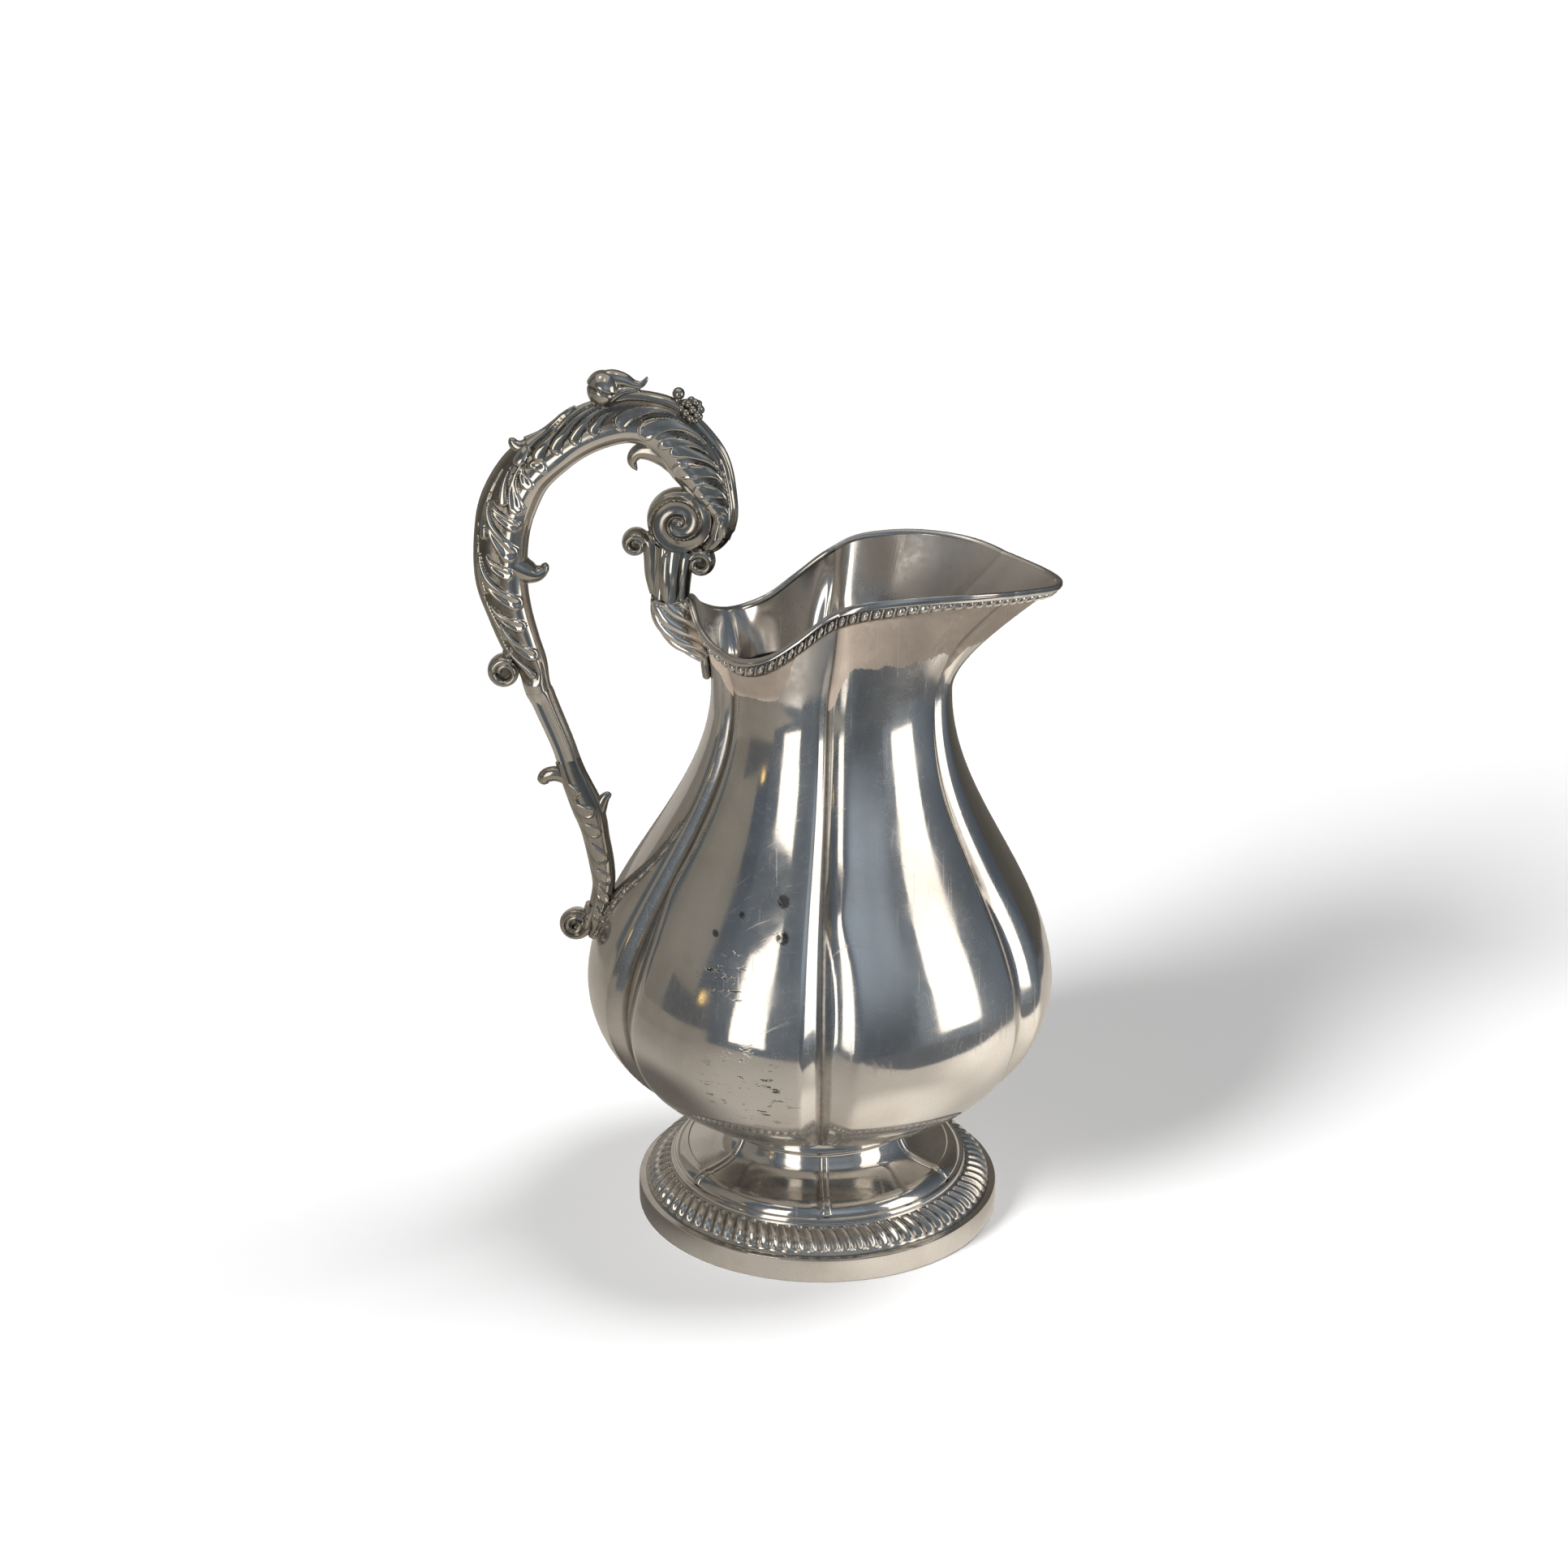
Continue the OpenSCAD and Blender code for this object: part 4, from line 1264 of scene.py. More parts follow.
# Leaf tips, curls and scrolls that are cast with each piece of the handle, main ones first
DETAILS: dict[str, tuple[Tip | Curl | Drum, ...]] = {
    "handle_root": (
        Tip(((-38.2, 197.0, 1.2), (-38.0, 193.5, 1.5), (-37.7, 190.5, 1.5), (-37.3, 187.6, 1.4)), flat=1.6),
    ),
    "handle_calyx": (
        Tip((
            (-54.0, 217.0, 1.8), (-54.9, 223.0, 2.3), (-55.0, 229.5, 2.6),
            (-55.6, 234.0, 2.7), (-57.8, 237.0, 2.0),
        )),
        Tip((
            (-44.8, 217.0, 1.8), (-44.7, 222.0, 2.2), (-44.2, 227.0, 2.6),
            (-42.8, 230.2, 2.4), (-40.2, 231.0, 1.7),
        )),
        Tip(CALYX_LEAF, flat=0.9, y=-4.2),
        Tip(CALYX_LEAF, flat=0.9, y=4.2),
        Tip(((-55.3, 215.6, 0.9), (-49.5, 214.9, 0.95), (-43.9, 215.6, 0.9)), flat=6.2),
    ),
    "calyx_curls": (
        Curl((-60.0, 233.6, 5.0), depth=4.5, thick=1.9, start=20, turns=1.3, inward=0.66),
        Curl((-39.6, 227.6, 5.6), depth=4.8, thick=2.2, start=150, turns=-1.3, inward=0.66),
    ),
    "handle_volute": (Drum((-46.0, 241.4, 10.0), depth=5.6, start=225, pitch=0.55),),
    "handle_arch": (
        Tip((
            (-47.5, 259.0, 3.0), (-50.8, 262.6, 3.8), (-55.2, 264.0, 3.4),
            (-59.2, 263.2, 2.4), (-60.8, 260.4, 1.6), (-59.3, 257.2, 0.5),
        )),
        Tip((
            (-31.9, 246.5, 3.6), (-32.1, 240.5, 3.9), (-33.6, 235.6, 3.2),
            (-36.4, 232.6, 2.4), (-39.6, 231.4, 1.5),
        ), flat=1.15),
        Tip((
            (-65.5, 281.0, 2.0), (-61.3, 281.6, 2.0), (-54.9, 281.0, 2.0),
            (-48.5, 279.2, 2.0), (-43.5, 275.8, 1.8),
        ), flat=1.2),
    ),
    "handle_arm": (
        Tip((
            (-86.0, 265.6, 3.2), (-90.2, 265.2, 3.2), (-94.2, 264.5, 2.9),
            (-96.8, 264.9, 2.2), (-98.2, 266.4, 1.6), (-98.0, 267.8, 1.1),
        )),
        Tip((
            (-99.0, 226.0, 4.8), (-95.2, 223.9, 4.0), (-91.9, 223.2, 2.9),
            (-89.5, 224.5, 1.8), (-88.7, 226.8, 0.9),
        ), flat=1.1),
    ),
    "arm_scroll": (
        Curl((-102.7, 190.0, 6.0), depth=3.6, thick=1.8, start=60, turns=1.4, core=0.3),
        Tip(((-98.6, 203.5, 2.2), (-99.6, 199.6, 2.4), (-101.0, 196.6, 2.2), (-103.0, 195.0, 1.6)), flat=1.2),
    ),
    "thumb_leaf": (
        Tip((
            (-71.0, 286.6, 2.4), (-67.0, 287.2, 2.8), (-63.4, 286.6, 2.4), (-60.5, 285.3, 1.7),
            (-58.2, 285.1, 1.2), (-56.6, 286.2, 0.8), (-55.8, 287.8, 0.4),
        )),
        Tip(((-67.5, 281.0, 2.2), (-64.0, 283.4, 2.0), (-60.5, 283.6, 1.3), (-57.5, 282.6, 0.7)), flat=1.6),
    ),
    "stem_sheath": (
        Tip((
            (-79.6, 146.8, 3.0), (-82.6, 152.6, 2.8), (-86.6, 154.4, 2.6),
            (-90.2, 153.6, 2.4), (-91.6, 150.6, 1.7),
        )),
        Tip(((-74.2, 138.6, 3.0), (-72.4, 143.6, 2.3), (-70.8, 146.4, 1.6), (-68.9, 147.6, 0.9))),
    ),
    "tail_scroll": (
        Drum((-81.3, 100.9, 5.2), depth=3.8, start=10, pitch=0.5, clockwise=False),
        Tip(((-75.6, 108.0, 2.4), (-76.4, 104.6, 2.6), (-77.4, 101.6, 2.4), (-78.4, 98.6, 1.6)), flat=1.2),
        Curl((-74.2, 98.8, 1.9), depth=1.0, thick=0.7, start=100, turns=-1.1, inward=0.6, core=0.4, y=-4.6),
        Curl((-74.2, 98.8, 1.9), depth=1.0, thick=0.7, start=100, turns=-1.1, inward=0.6, core=0.4, y=4.6),
    ),
}


@dataclass
class Handle:
    """The cast handle: root, calyx, volute, leafy arch and arm, stem, sheath and scrolls.

    Sizes in millimetres. Rows are shares of the reach, of the way from low to high, and of the arm's
    width and depth. Leafed are the rows between which the leaves lie; full and slim are the row, reach and
    height of a bulge and of a dip in the sides; fold is the row where the arm's leaf laps over the arch's.
    """

    reach: float = 70.0
    low: Pair = (-74.34, 100.0)
    high: Pair = (-42.0, 214.8)
    arm_w: float = 18.0
    arm_d: float = 12.0
    sunk: float = 1.3
    rib: float = 1.25
    leaf_edge: float = 112.0
    leafed: Pair = (-0.2, 14.7)
    full: Triple = (7.6, 1.1, 1.7)
    slim: Triple = (14.6, 0.9, 1.5)
    fold: float = 7.62
    thumb: Triple = (-69.8, 0.0, 283.6)
    thumb_r: Triple = (5.0, 5.2, 5.6)
    berry_r: float = 1.3
    berries: int = 24
    cluster: Triple = (-42.3, 0.0, 276.9)
    cluster_r: Triple = (3.2, 3.4, 3.2)
    lone_berries: tuple[Quad, ...] = ((-46.1, 0.0, 282.4, 2.0), (-46.4, 0.0, 280.4, 1.3))
    rows: tuple[Quad, ...] = (
        (-0.04, 1.18, 0.39, 0.75), (-0.03, 1.25, 0.49, 0.8), (0.05, 1.32, 0.84, 0.95), (0.16, 1.4, 1.07, 1),
        (0.33, 1.49, 1, 1), (0.5, 1.52, 0.91, 0.95), (0.66, 1.5, 0.87, 0.95), (0.81, 1.45, 0.84, 0.95),
        (0.92, 1.38, 0.89, 0.97), (0.96, 1.28, 1, 1), (0.95, 1.18, 0.98, 1), (0.9, 1.06, 0.94, 1),
        (0.82, 0.96, 0.81, 0.9), (0.73, 0.87, 0.72, 0.8), (0.64, 0.8, 0.62, 0.72), (0.58, 0.73, 0.56, 0.66),
        (0.53, 0.68, 0.52, 0.62), (0.42, 0.58, 0.49, 0.6), (0.36, 0.52, 0.49, 0.6), (0.31, 0.47, 0.52, 0.62),
        (0.21, 0.38, 0.6, 0.68), (0.16, 0.33, 0.56, 0.66), (0.12, 0.28, 0.51, 0.62), (0.06, 0.2, 0.49, 0.6),
        (0.02, 0.13, 0.44, 0.56), (0.01, 0.05, 0.4, 0.6), (0, -0.03, 0.29, 0.6),
    )
    root_rows: tuple[Quad, ...] = (
        (0.104, 1.002, 0.71, 0.92), (0.064, 0.952, 0.73, 0.95), (-0.002, 0.902, 0.62, 0.85),
        (-0.074, 0.864, 0.44, 0.72), (-0.13, 0.83, 0.25, 0.5),
    )
    calyx_rows: tuple[Quad, ...] = (
        (0.1, 1.003, 0.66, 0.92), (0.115, 1.05, 0.66, 0.95), (0.13, 1.1, 0.68, 1), (0.14, 1.15, 0.72, 0.95),
    )
    leaves: tuple[Leaflet, ...] = (
        Leaflet((7.9, 88), (7.64, 103), 1.7, 1.4, 0.5), Leaflet((7.98, 80), (8.26, 108), 1.55, 1.4, 0.5),
        Leaflet((7.99, 73), (8.97, 109), 1.8, 1.7, 0.5), Leaflet((8.1, 54), (8.95, 78), 1.3, 1.3, 0.0),
        Leaflet((9.05, 50), (9.51, 113), 1.8, 1.6, 0.5), Leaflet((9.15, 44), (10.29, 111), 2.4, 1.9, 0.5),
        Leaflet((10.4, 58), (10.79, 105), 1.8, 1.5, 0.5), Leaflet((10.4, 34), (11.66, 115), 2.3, 1.9, 0.5),
        Leaflet((11.65, 48), (12.38, 108), 1.9, 1.7, 0.5), Leaflet((12.2, 58), (13.47, 110), 1.9, 1.7, 0.5),
        Leaflet((8.3, 32), (9.95, 46), 1.2, 1.1, 0.0), Leaflet((9.7, 20), (11.2, 40), 1.2, 1.1, 0.0),
        Leaflet((11.0, 24), (12.6, 54), 1.2, 1.1, 0.0), Leaflet((12.4, 26), (14.2, 76), 1.3, 1.2, 0.0),
        Leaflet((5.5, 60), (6.05, 92), 1.4, 1.2, 0.0), Leaflet((5.6, 44), (6.55, 94), 1.5, 1.4, 0.0),
        Leaflet((5.7, 30), (7.05, 92), 1.6, 1.5, 0.0), Leaflet((5.9, 16), (7.5, 84), 1.7, 1.6, 0.0),
        Leaflet((6.3, 4), (7.9, 58), 1.8, 1.6, 0.0), Leaflet((4.1, 44), (5.3, 88), 2.0, 1.6, 0.45),
        Leaflet((3.3, 46), (4.55, 102), 2.6, 1.9, 0.45), Leaflet((3.1, 58), (3.9, 116), 1.6, 1.3, 0.0),
        Leaflet((2.5, 54), (3.55, 104), 1.6, 1.6, 0.2), Leaflet((2.2, 58), (3.1, 124), 2.3, 1.9, 0.45),
        Leaflet((1.5, 62), (2.25, 112), 2.0, 1.6, 0.4), Leaflet((0.9, 66), (1.5, 122), 1.7, 1.4, 0.3),
        Leaflet((0.3, 64), (0.9, 112), 1.4, 1.2, 0.0), Leaflet((4.5, 20), (0.5, 34), 1.4, 1.2, 0.0),
        Leaflet((3.4, 36), (0.3, 60), 1.3, 1.2, 0.0),
    )
    sheath_leaves: tuple[Leaflet, ...] = (
        Leaflet((18.4, 10), (19.4, 62), 1.7, 1.0), Leaflet((19.1, 20), (20.2, 86), 1.7, 1.0),
        Leaflet((20.1, 20), (21.5, 86), 1.8, 1.0), Leaflet((21.4, 20), (22.7, 92), 1.8, 1.0),
        Leaflet((22.6, 20), (23.6, 97), 1.7, 1.0), Leaflet((23.5, 20), (24.4, 97), 1.6, 1.0),
        Leaflet((24.3, 20), (25.1, 90), 1.4, 0.9),
    )

    def place(self, rows: Array) -> Array:
        """Places in the handle's plane from rows of shares."""
        low, high = np.array(self.low), np.array(self.high)
        return low + (high - low) * rows[:, 1:2] - np.array([self.reach, 0]) * rows[:, :1]

    def line(self, rows: Sequence[Quad], t: Array) -> tuple[Array, Array, tuple[Array, Array]]:
        """Middle, outward side and half width and depth of the handle.

        Args:
            rows: the table of shares.
            t: places along the rows.
        Returns:
            Middles, sides, and half widths with half depths.
        """
        row, ahead, behind = (row_curve(rows, t + step) for step in (0, 0.01, -0.01))
        side = across(self.place(ahead) - self.place(behind))
        return self.place(row), side, (row[:, 2] * self.arm_w / 2, row[:, 3] * self.arm_d / 2)

    def relief(self, t: Array, a: Array, leaves: Sequence[Leaflet]) -> Array:
        """Height of the leaflets above the bar.

        Args:
            t: places along the handle's rows.
            a: angles round the section, 0 on the outer side.
            leaves: the leaflets.
        Returns:
            Heights, a row for each place and a column for each angle.
        """
        rows, margin = np.linspace(0, len(self.rows) - 1, 1601), 5.0
        middle, _, (w, d) = self.line(self.rows, rows)
        run = np.concatenate([[0], np.cumsum(np.linalg.norm(np.diff(middle, axis=0), axis=1))])
        girth = (w + d) / 2
        s = np.interp(t, rows, run)
        c = np.abs(a) * np.interp(t, rows, girth)[:, None]
        height = np.zeros_like(c)
        for leaf in leaves:
            u, row, turn = leaf.path()
            along = np.interp(row, rows, run)
            path = np.stack([along, turn * np.interp(row, rows, girth)], -1)
            near = np.flatnonzero((s > along.min() - margin) & (s < along.max() + margin))
            if len(near):
                height[near] = np.maximum(height[near], leaf.swell(u, path, s[near][:, None], c[near]))
        return height

    def leafy(self, first: float, last: float, rings: int) -> Mesh:
        """Makes a stretch of the handle with its acanthus leaves in relief.

        Args:
            first: row where the stretch starts.
            last: row where it ends.
            rings: rings along it.
        Returns:
            The piece.
        """
        sides = 128
        t, a = np.linspace(first, last, rings), full_turn(sides)
        off = np.abs(a)[None]
        middle, side, half = self.line(self.rows, t)
        height = self.relief(t, a, self.leaves)
        start, end = self.leafed
        leafed = (ease((end - t) / 0.5) * ease((t - start) / 0.4))[:, None]
        zone = ease((math.radians(self.leaf_edge) + 0.1 - off) / 0.55) * leafed
        spine = bell(off * (sum(half) / 2)[:, None], 1.7)
        full, slim = (gain * bell(t - row, reach) for row, reach, gain in (self.full, self.slim))
        fuller = (full - slim)[:, None] * ease((off - 1.7) / 0.7)
        lap = 0.8 * ease((self.fold - t) / 0.07) * ease((t - 6.7) / 0.6) - 2.0 * bell(t - 7.15, 0.5)
        swell = zone * (self.rib * spine - self.sunk) + height * np.maximum(zone, 0.55)
        swell += fuller + lap[:, None] * ease((1.3 - off) / 0.5)
        deep = zone * (1 - np.clip(height / 0.9, 0, 1)) * (1 - spine)
        hollow = np.clip(0.75 * deep + 0.05 * (1 - zone), 0, 1)
        return Bench.bar("leafy", middle, side, half, sides, hollow, swell, shine=0.45 * (1 - zone))

    def twisted(
        self, rows: Sequence[Quad], flutes: int, twist: float, rings: int, depth: float, shine: float
    ) -> Mesh:
        """Makes a fluted stretch whose ridges wind round it.

        Args:
            rows: the table of shares.
            flutes: number of ridges.
            twist: pitches that a ridge winds from end to end.
            rings: rings along the stretch.
            depth: depth of the furrows.
            shine: how much brighter the metal is rubbed.
        Returns:
            The piece.
        """
        sides = 96
        t = np.linspace(0, len(rows) - 1, rings)
        middle, side, half = self.line(rows, t)
        along, around = np.meshgrid(t / t[-1], full_turn(sides), indexing="ij")
        f = (flutes * around / (2 * math.pi) + twist * along) % 1.0
        crown = np.sqrt(np.maximum(0, 1 - (2 * f - 1) ** 2))
        swell = depth * (crown - 0.8) * np.minimum(1, (half[0] / 4)[:, None])
        hollow = np.clip(0.5 - crown, 0, 1)
        return Bench.bar("twisted", middle, side, half, sides, hollow, swell, shine=shine)

    def stem(self) -> Mesh:
        """Makes the faceted stem: two bright ridges on each side with hollow faces between them.

        Returns:
            The piece.
        """
        sides = 72
        t, a = np.linspace(15, 18, 70), full_turn(sides)
        middle, side, half = self.line(self.rows, t)
        turn = np.degrees(np.abs(a))
        ridge = bell(turn - 62, 9) + 0.9 * bell(turn - 112, 9)
        row, _, gain = self.slim
        slim = -gain * bell(t - row, 0.75)[:, None] * ease((np.abs(a) - 1.7) / 0.7)[None]
        swell = (0.75 * ridge - 0.5)[None] * ease((t - 15) / 0.8)[:, None] + slim
        hollow = 0.22 * bell(turn - 88, 12) + 0.03
        return Bench.bar("stem", middle, side, half, sides, hollow, swell, square=1.1, shine=0.5)

    def sheath(self) -> Mesh:
        """Makes the sheath: serrated leaflets on the outer side, plain metal on the inner side.

        Returns:
            The piece.
        """
        sides = 72
        t, a = np.linspace(18, 26, 330), full_turn(sides)
        middle, side, half = self.line(self.rows, t)
        height = self.relief(t, a, self.sheath_leaves)
        sheet = ease((1.25 - np.abs(a)) / 0.2)[None] * ease((25.6 - t) / 0.5)[:, None] * 0.6
        rim = np.clip(np.gradient(height, axis=1) * -np.sign(a), -1, 1)
        hollow = np.clip(0.3 + 0.9 * np.clip(-rim, 0, 1) - 0.3 * np.clip(height, 0, 1), 0, 1)
        return Bench.bar("sheath", middle, side, half, sides, hollow, np.maximum(height, sheet) - 0.5)

    def thumb_ball(self) -> Mesh:
        """Makes the ball of the rolled leaf on top of the arch, with the fold over it.

        Returns:
            The piece.
        """
        v, b = np.linspace(0, math.pi, 40)[:, None], np.linspace(0, 2 * math.pi, 73)
        x, y, z = np.sin(v) * np.cos(b), np.sin(v) * np.sin(b), np.cos(v) + 0 * b
        fold = 0.3 * x + 0.1 * y + 0.93 * z - 0.02
        r = 1 + 0.09 * ease(fold / 0.12 + 0.5) - 0.07 * bell(fold + 0.06, 0.07)
        grid = np.array(self.thumb) + np.array(self.thumb_r) * r[..., None] * np.stack([x, y, z], -1)
        return Bench.skin("ball", grid, {"hollow": np.clip(0.9 * bell(fold + 0.06, 0.09), 0.05, 1)})

    def berry_cluster(self) -> Mesh:
        """Makes the cluster of berries beside the thumb leaf, with one larger berry before it.

        Returns:
            The piece.
        """
        places = [(berry[:3], berry[3]) for berry in self.lone_berries]
        golden = math.pi * (3 - math.sqrt(5))
        for i in range(self.berries):
            out = 1 - 2 * (i + 0.5) / self.berries
            flat, turn = math.sqrt(1 - out * out), i * golden
            ball = (out, flat * math.cos(turn), flat * math.sin(turn))
            place = tuple(c + r * b for c, r, b in zip(self.cluster, self.cluster_r, ball))
            places.append((place, self.berry_r))
        parts = []
        for place, r in places:
            Bench.clear()
            bpy.ops.mesh.primitive_uv_sphere_add(segments=14, ring_count=9, radius=r * MM)
            berry = Bench.named("berry")
            bpy.ops.object.mode_set(mode="EDIT")
            bpy.ops.transform.translate(value=[c * MM for c in place])
            bpy.ops.object.mode_set(mode="OBJECT")
            bpy.ops.object.shade_smooth()
            layer = berry.data.attributes.new("hollow", "FLOAT", "POINT")
            layer.data.foreach_set("value", np.full(len(berry.data.vertices), 0.1, np.float32))
            parts.append(berry)
        return Bench.join("berries", parts)

    def build(self) -> Iterator[tuple[str, Mesh]]:
        """Casts the pieces from the root to the tail, each with its leaf tips, curls and scrolls.

        Returns:
            The solids' names with their pieces.
        """
        root = partial(self.twisted, self.root_rows, flutes=7, twist=3.4, rings=120, depth=1.9, shine=0.75)
        calyx = partial(self.twisted, self.calyx_rows, flutes=6, twist=0.1, rings=44, depth=1.5, shine=0.25)
        for node, main_form in (
            ("handle_root", root),
            ("handle_calyx", calyx),
            ("calyx_curls", None),
            ("handle_volute", None),
            ("handle_arch", partial(self.leafy, 0, 5, 320)),
            ("handle_arm", partial(self.leafy, 5, 15, 640)),
            ("arm_scroll", None),
            ("thumb_leaf", self.thumb_ball),
            ("berry_cluster", self.berry_cluster),
            ("handle_stem", self.stem),
            ("stem_sheath", self.sheath),
            ("tail_scroll", None),
        ):
            parts = [main_form()] if main_form else []
            parts += [detail.build() for detail in DETAILS.get(node, ())]
            yield node, Bench.join(node, parts)


@dataclass(frozen=True)
class Panel:
    """A studio panel that only reflections see: a wall of one tone, a table top or a bright window.

    Corner and sides in millimetres; an outline is given in shares of the two sides, spots as place, reach and
    level. The panel glows: its tones, the change from one tone to another and its spots are painted light and
    shade of a room. Ragged is how far cloudy patches darken it.
    """

    name: str
    corner: Triple
    wide: Triple
    high: Triple
    colour: Triple
    strength: float = 1.0
    ragged: float = 0.25
    far_colour: Triple | None = None
    outline: tuple[Pair, ...] = ((0, 0), (1, 0), (1, 1), (0, 1))
    spots: tuple[tuple[float, float, float, float, float], ...] = ()

    def glow(self, board: NodeBoard, corner: Vector, wide: Vector) -> Socket:
        """Mixes the panel's colour: from one tone to another along it, with cloudy patches and spots.

        Args:
            board: the material.
            corner: the panel's corner, in metres.
            wide: its long side.
        Returns:
            The colour.
        """
        at = board.place()
        colour = self.colour
        if self.far_colour:
            values = {0: at, 1: tuple(corner)}
            from_corner = board.add("ShaderNodeVectorMath", values, operation="SUBTRACT").outputs[0]
            values = {0: from_corner, 1: tuple(wide / wide.length_squared)}
            along = board.add("ShaderNodeVectorMath", values, operation="DOT_PRODUCT").outputs["Value"]
            colour = board.blend(board.span(along, 0.0, 1.0), self.colour, self.far_colour)
        patch = board.span(board.noise(at, scale=3.0, detail=3.0, rough=0.5), 0.7, 0.3)
        colour = board.blend(patch, colour, (1 - self.ragged,) * 3, "MULTIPLY")
        # Spots of painted light and shade: each brightens or darkens the panel round a place.
        for x, y, z, reach, level in self.spots:
            near = board.span(board.far(at, (x, y, z)), reach * MM, reach * MM * 0.3)
            colour = board.blend(near, colour, (level,) * 3, "MULTIPLY")
        return colour

    def build(self) -> None:
        """Stands the panel up."""
        corner, wide, high = (Vector(v) * MM for v in (self.corner, self.wide, self.high))
        Bench.clear()
        bpy.ops.mesh.primitive_circle_add(vertices=len(self.outline), fill_type="NGON")
        obj = Bench.named(self.name)
        for vertex, (u, v) in zip(obj.data.vertices, self.outline):
            vertex.co = corner + wide * u + high * v
        board = NodeBoard(bpy.data.materials.new(self.name))
        values = {"Color": self.glow(board, corner, wide), "Strength": self.strength}
        obj.data.materials.append(board.done(board.add("ShaderNodeEmission", values).outputs[0]))
        obj.visible_camera = False
        obj.visible_diffuse = False
        obj.visible_shadow = False
        obj.visible_volume_scatter = False


ROOM, HAZE = (0.1, 0.125, 0.16), (0.24, 0.28, 0.325)
WARM, BEIGE, DIM = (0.33, 0.305, 0.265), (0.42, 0.385, 0.335), (0.14, 0.15, 0.165)
DAY = (1.0, 0.93, 0.85)
CLOTH = (
    (0, 0), (0.63, 0), (0.675, 0.2), (0.7, 0.35), (0.78, 0.42), (0.865, 0.58), (0.86, 0.75), (0.8, 1), (0, 1),
)
WALL_H = (0.0, 0.0, 900.0)


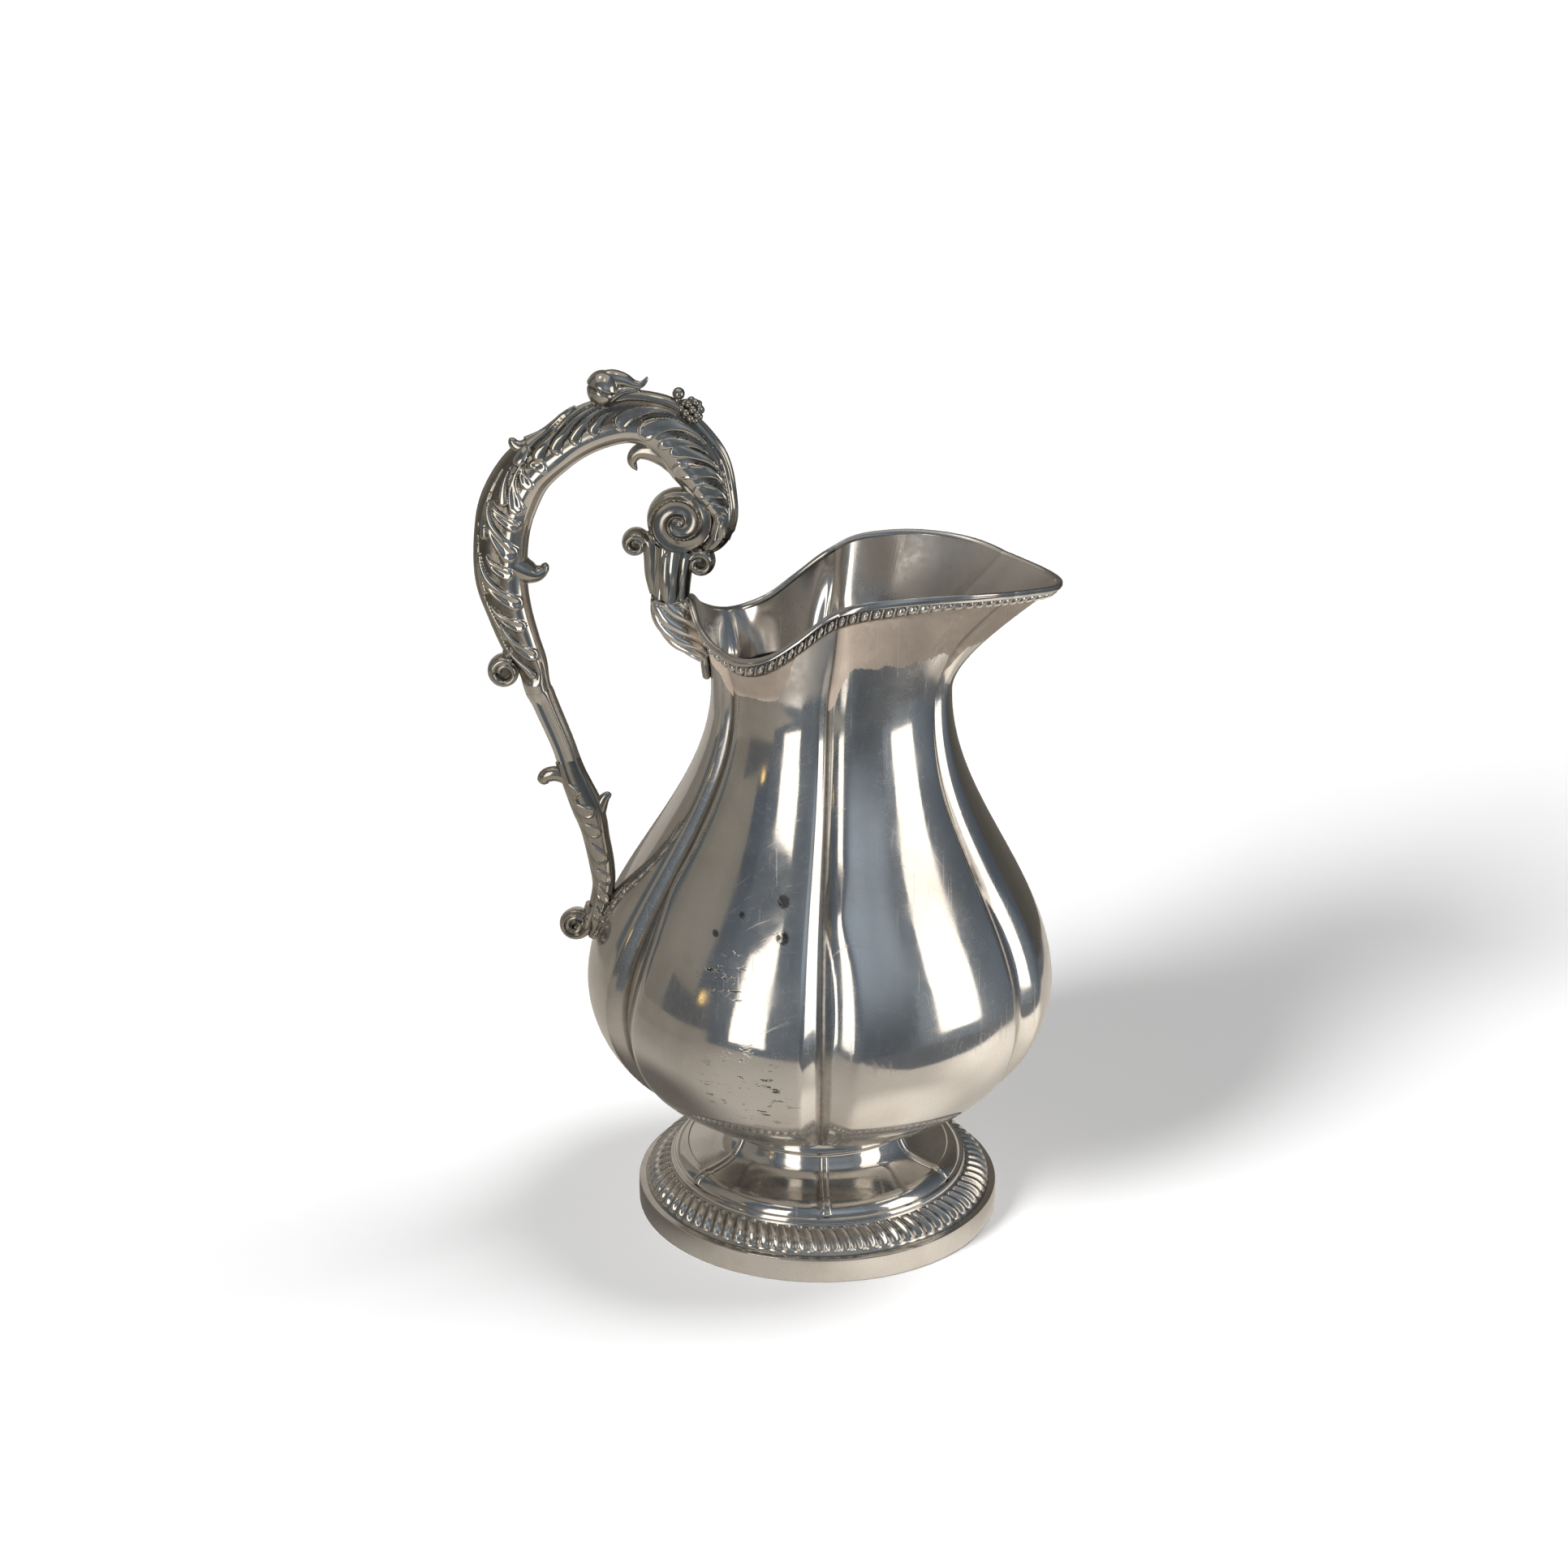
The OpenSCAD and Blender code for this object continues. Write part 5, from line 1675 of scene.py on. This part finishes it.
@dataclass
class Studio:
    """Pale floor, soft light, dark and bright panels for the polish to reflect, and the camera.

    Places in millimetres, floor and sight in metres; each sun is an azimuth, an elevation, a strength and
    a spread, angles in degrees.
    """

    eye: Triple = (-12.35, -1000.0, 549.0)
    aim: Triple = (-12.35, 0.0, 151.3)
    focal_px: float = 4052.0
    roll: float = 0.38
    floor_tone: Triple = (0.93, 0.93, 0.93)
    ambient: float = 0.06
    floor_m: float = 14.0
    sight_m: float = 50.0
    suns: tuple[Quad, ...] = ((-136.0, 29.0, 3.95, 20.0), (20.0, 66.0, 1.6, 24.0))
    panels: tuple[Panel, ...] = (
        Panel("room_floor", (-900, -450, 0.3), (1600, 0, 0), (0, 760, 0), DIM, ragged=0.0),
        # Table top for reflections: painted shade on the left giving way to painted light on the right, a
        # painted shadow beside the foot and two painted pools of light on the right.
        Panel(
            "table_top", (-560, -450, 0.4), (1000, 0, 0), (0, 760, 0), (0.4, 0.365, 0.32),
            ragged=0.2, far_colour=(0.86, 0.79, 0.7), outline=CLOTH,
            spots=((-88, -8, 0, 80, 0.3), (220, -30, 0, 150, 1.95), (50, -75, 0, 70, 1.6)),
        ),
        # Front wall for reflections: darker on the left and paler on the right, with painted light round a
        # place high on its right and painted shade low on its right.
        Panel(
            "front_wall", (-900, -450, 0), (1340, 0, 0), WALL_H, ROOM, ragged=0.3, far_colour=HAZE,
            spots=((200, -450, 380, 300, 2.0), (290, -450, 60, 420, 0.5)),
        ),
        Panel("right_wall", (440, -450, 0), (0, 900, 0), WALL_H, HAZE, ragged=0.3, far_colour=ROOM),
        Panel("left_skirting", (-560, -450, 0), (0, 800, 0), (0, 0, 80), BEIGE),
        Panel("left_low", (-560, -450, 80), (0, 330, 0), (0, 0, 155), DIM),
        Panel("left_mid", (-560, -120, 80), (0, 230, 0), (0, 0, 155), WARM),
        Panel("left_high", (-560, -300, 235), (0, 410, 0), (0, 0, 665), WARM),
        Panel("left_rear", (-560, 110, 80), (0, 190, 0), (0, 0, 820), (0.12, 0.14, 0.16)),
        Panel("left_front", (-560, -450, 235), (0, 150, 0), (0, 0, 665), ROOM),
        Panel("lamp", (-556, -366, 225), (0, 32, 0), (0, 0, 52), (1.0, 0.7, 0.25), strength=2.6, ragged=0.0),
        Panel(
            "back_wall", (-560, 300, 0), (1000, 0, 0), WALL_H, (0.34, 0.31, 0.27),
            ragged=0.3, far_colour=(0.1, 0.09, 0.075),
        ),
        Panel("ceiling", (-900, -500, 900), (1500, 0, 0), (0, 1000, 0), (0.7, 0.66, 0.62), ragged=0.3),
        Panel("front_window", (-374, -446, 52), (194, 0, 0), (0, 0, 383), DAY, strength=2.4, ragged=0.1),
        Panel("side_window", (436, -325, 50), (0, 230, 0), (0, 0, 370), DAY, strength=2.4, ragged=0.1),
        Panel("back_window", (-300, 296, 60), (280, 0, 0), (0, 0, 300), DAY, strength=0.6, ragged=0.3),
        Panel("top_light", (-300, -120, 896), (150, 0, 0), (0, 150, 0), DAY, strength=3.0, ragged=0.1),
        Panel("top_light_right", (60, -430, 896), (80, 0, 0), (0, 260, 0), DAY, strength=2.4, ragged=0.1),
    )

    def build_floor(self) -> None:
        """Lays the pale floor."""
        Bench.clear()
        bpy.ops.mesh.primitive_plane_add(size=self.floor_m)
        floor = Bench.named("floor")
        board = NodeBoard(bpy.data.materials.new("pale_floor"))
        tone = board.noise(board.place(), scale=2.0, detail=2.0, rough=0.5)
        darker = tuple(c * 0.99 for c in self.floor_tone)
        colour = board.blend(board.span(tone, 0.2, 0.8), darker, self.floor_tone)
        matt = board.add("ShaderNodeBsdfDiffuse", {"Color": colour})
        floor.data.materials.append(board.done(matt.outputs[0]))

    def build_world(self) -> None:
        """Sets a white surround that cameras and reflections see, at a lower level for plain light."""
        world = bpy.data.worlds.new("surround")
        bpy.context.scene.world = world
        board = NodeBoard(world)
        path = board.add("ShaderNodeLightPath")
        seen = path.outputs["Is Camera Ray"]
        for name in ("Is Glossy Ray", "Is Transmission Ray"):
            seen = board.math("MAXIMUM", seen, path.outputs[name])
        level = board.add("ShaderNodeMapRange", {"Value": seen, "To Min": self.ambient, "To Max": 1.0})
        back = board.add("ShaderNodeBackground", {"Color": (1, 1, 1, 1), "Strength": level.outputs[0]})
        board.add("ShaderNodeOutputWorld", {"Surface": back.outputs[0]})

    def build_lights(self) -> None:
        """Adds the soft key light from the front left and a weaker one from the upper right."""
        for number, (azimuth, elevation, energy, spread) in enumerate(self.suns):
            az, el = math.radians(azimuth), math.radians(elevation)
            toward = Vector((math.cos(el) * math.cos(az), math.cos(el) * math.sin(az), math.sin(el)))
            Bench.clear()
            bpy.ops.object.light_add(type="SUN", location=toward * 2)
            light = Bench.named(f"soft_light_{number}")
            light.rotation_euler = toward.to_track_quat("Z", "Y").to_euler()
            light.data.energy = energy
            light.data.angle = math.radians(spread)
            light.visible_glossy = False

    def build_camera(self) -> None:
        """Stands the camera where the photograph was taken from."""
        eye, aim = Vector(self.eye) * MM, Vector(self.aim) * MM
        ahead = (aim - eye).normalized()
        right = ahead.cross(Vector((0, 0, 1))).normalized()
        up = right.cross(ahead)
        a = math.radians(self.roll)
        right, up = right * math.cos(a) + up * math.sin(a), up * math.cos(a) - right * math.sin(a)
        Bench.clear()
        bpy.ops.object.camera_add(location=eye)
        camera = Bench.named("view_camera")
        camera.matrix_world = Matrix.Translation(eye) @ Matrix((right, up, -ahead)).transposed().to_4x4()
        camera.data.sensor_width = SENSOR_MM
        camera.data.lens = self.focal_px * SENSOR_MM / IMAGE_PX
        camera.data.clip_end = self.sight_m
        bpy.context.scene.camera = camera

    def build(self) -> None:
        """Sets up everything around the ewer."""
        bpy.context.scene.view_settings.view_transform = "Standard"
        self.build_floor()
        self.build_world()
        self.build_lights()
        for panel in self.panels:
            panel.build()
        self.build_camera()


def settle(obj: Mesh, slot: Slot, finish: bpy.types.Material, node: str) -> None:
    """Gives a piece its finish and body and says which solid it stands for.

    Args:
        obj: the piece.
        slot: the record's material slot; not used.
        finish: the material.
        node: name of the solid that it stands for.
    """
    obj.name = obj.data.name = "ewer_" + node
    obj.data.materials.clear()
    obj.data.materials.append(finish)
    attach(obj, "root")
    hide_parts(node)
    LOG.info("%s: %d triangles", obj.name, Bench.count(obj))


def main() -> None:
    """Builds and dresses the ewer and sets up the studio."""
    logging.basicConfig(level=logging.INFO, format="%(name)s %(message)s")
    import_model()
    raised = Silver(
        "raised_silver",
        dents=0.0006,
        scuffs=((-22, -70, 76, 20), (-34, -64, 112, 14)),
        blots=(
            (-12.2, -54, 133.4, 2.4), (-12.6, -61, 123.6, 2.5),
            (-25.2, -52, 128.2, 1.3), (-33.6, -52, 121.8, 1.4),
        ),
    ).make()
    plain = Silver("foot_silver", dents=0.0002, clouds=40.0).make()
    trim = Silver("trim_silver", bright=(0.72, 0.69, 0.64), dents=0.0, polish=0.1, worn=0.24).make()
    cast = Silver(
        "cast_silver",
        bright=(0.52, 0.495, 0.44),
        dull=(0.34, 0.305, 0.25),
        deep=(0.06, 0.045, 0.03),
        dents=0.0,
        polish=0.05,
        worn=0.14,
        haze=0.08,
        flare=0.0,
    ).make()
    body, foot = Body(), Foot()
    lip = Lip(body)
    settle(body.build(), Slot.RAISED, raised, "body")
    settle(lip.build_wire(), Slot.TRIM, plain, "lip_wire")
    settle(lip.build_band(), Slot.TRIM, trim, "lip_band")
    settle(foot.build_collar(), Slot.FOOT, plain, "foot_collar")
    settle(foot.build_dome(), Slot.FOOT, plain, "foot_dome")
    settle(foot.build_ribs(), Slot.FOOT, plain, "foot_ribs")
    settle(foot.build_ring(), Slot.TRIM, trim, "gadroon_ring")
    settle(foot.build_band(), Slot.FOOT, plain, "foot_band")
    for node, piece in Handle().build():
        settle(piece, Slot.CAST, cast, node)
    Studio().build()


if __name__ == "__main__":
    main()
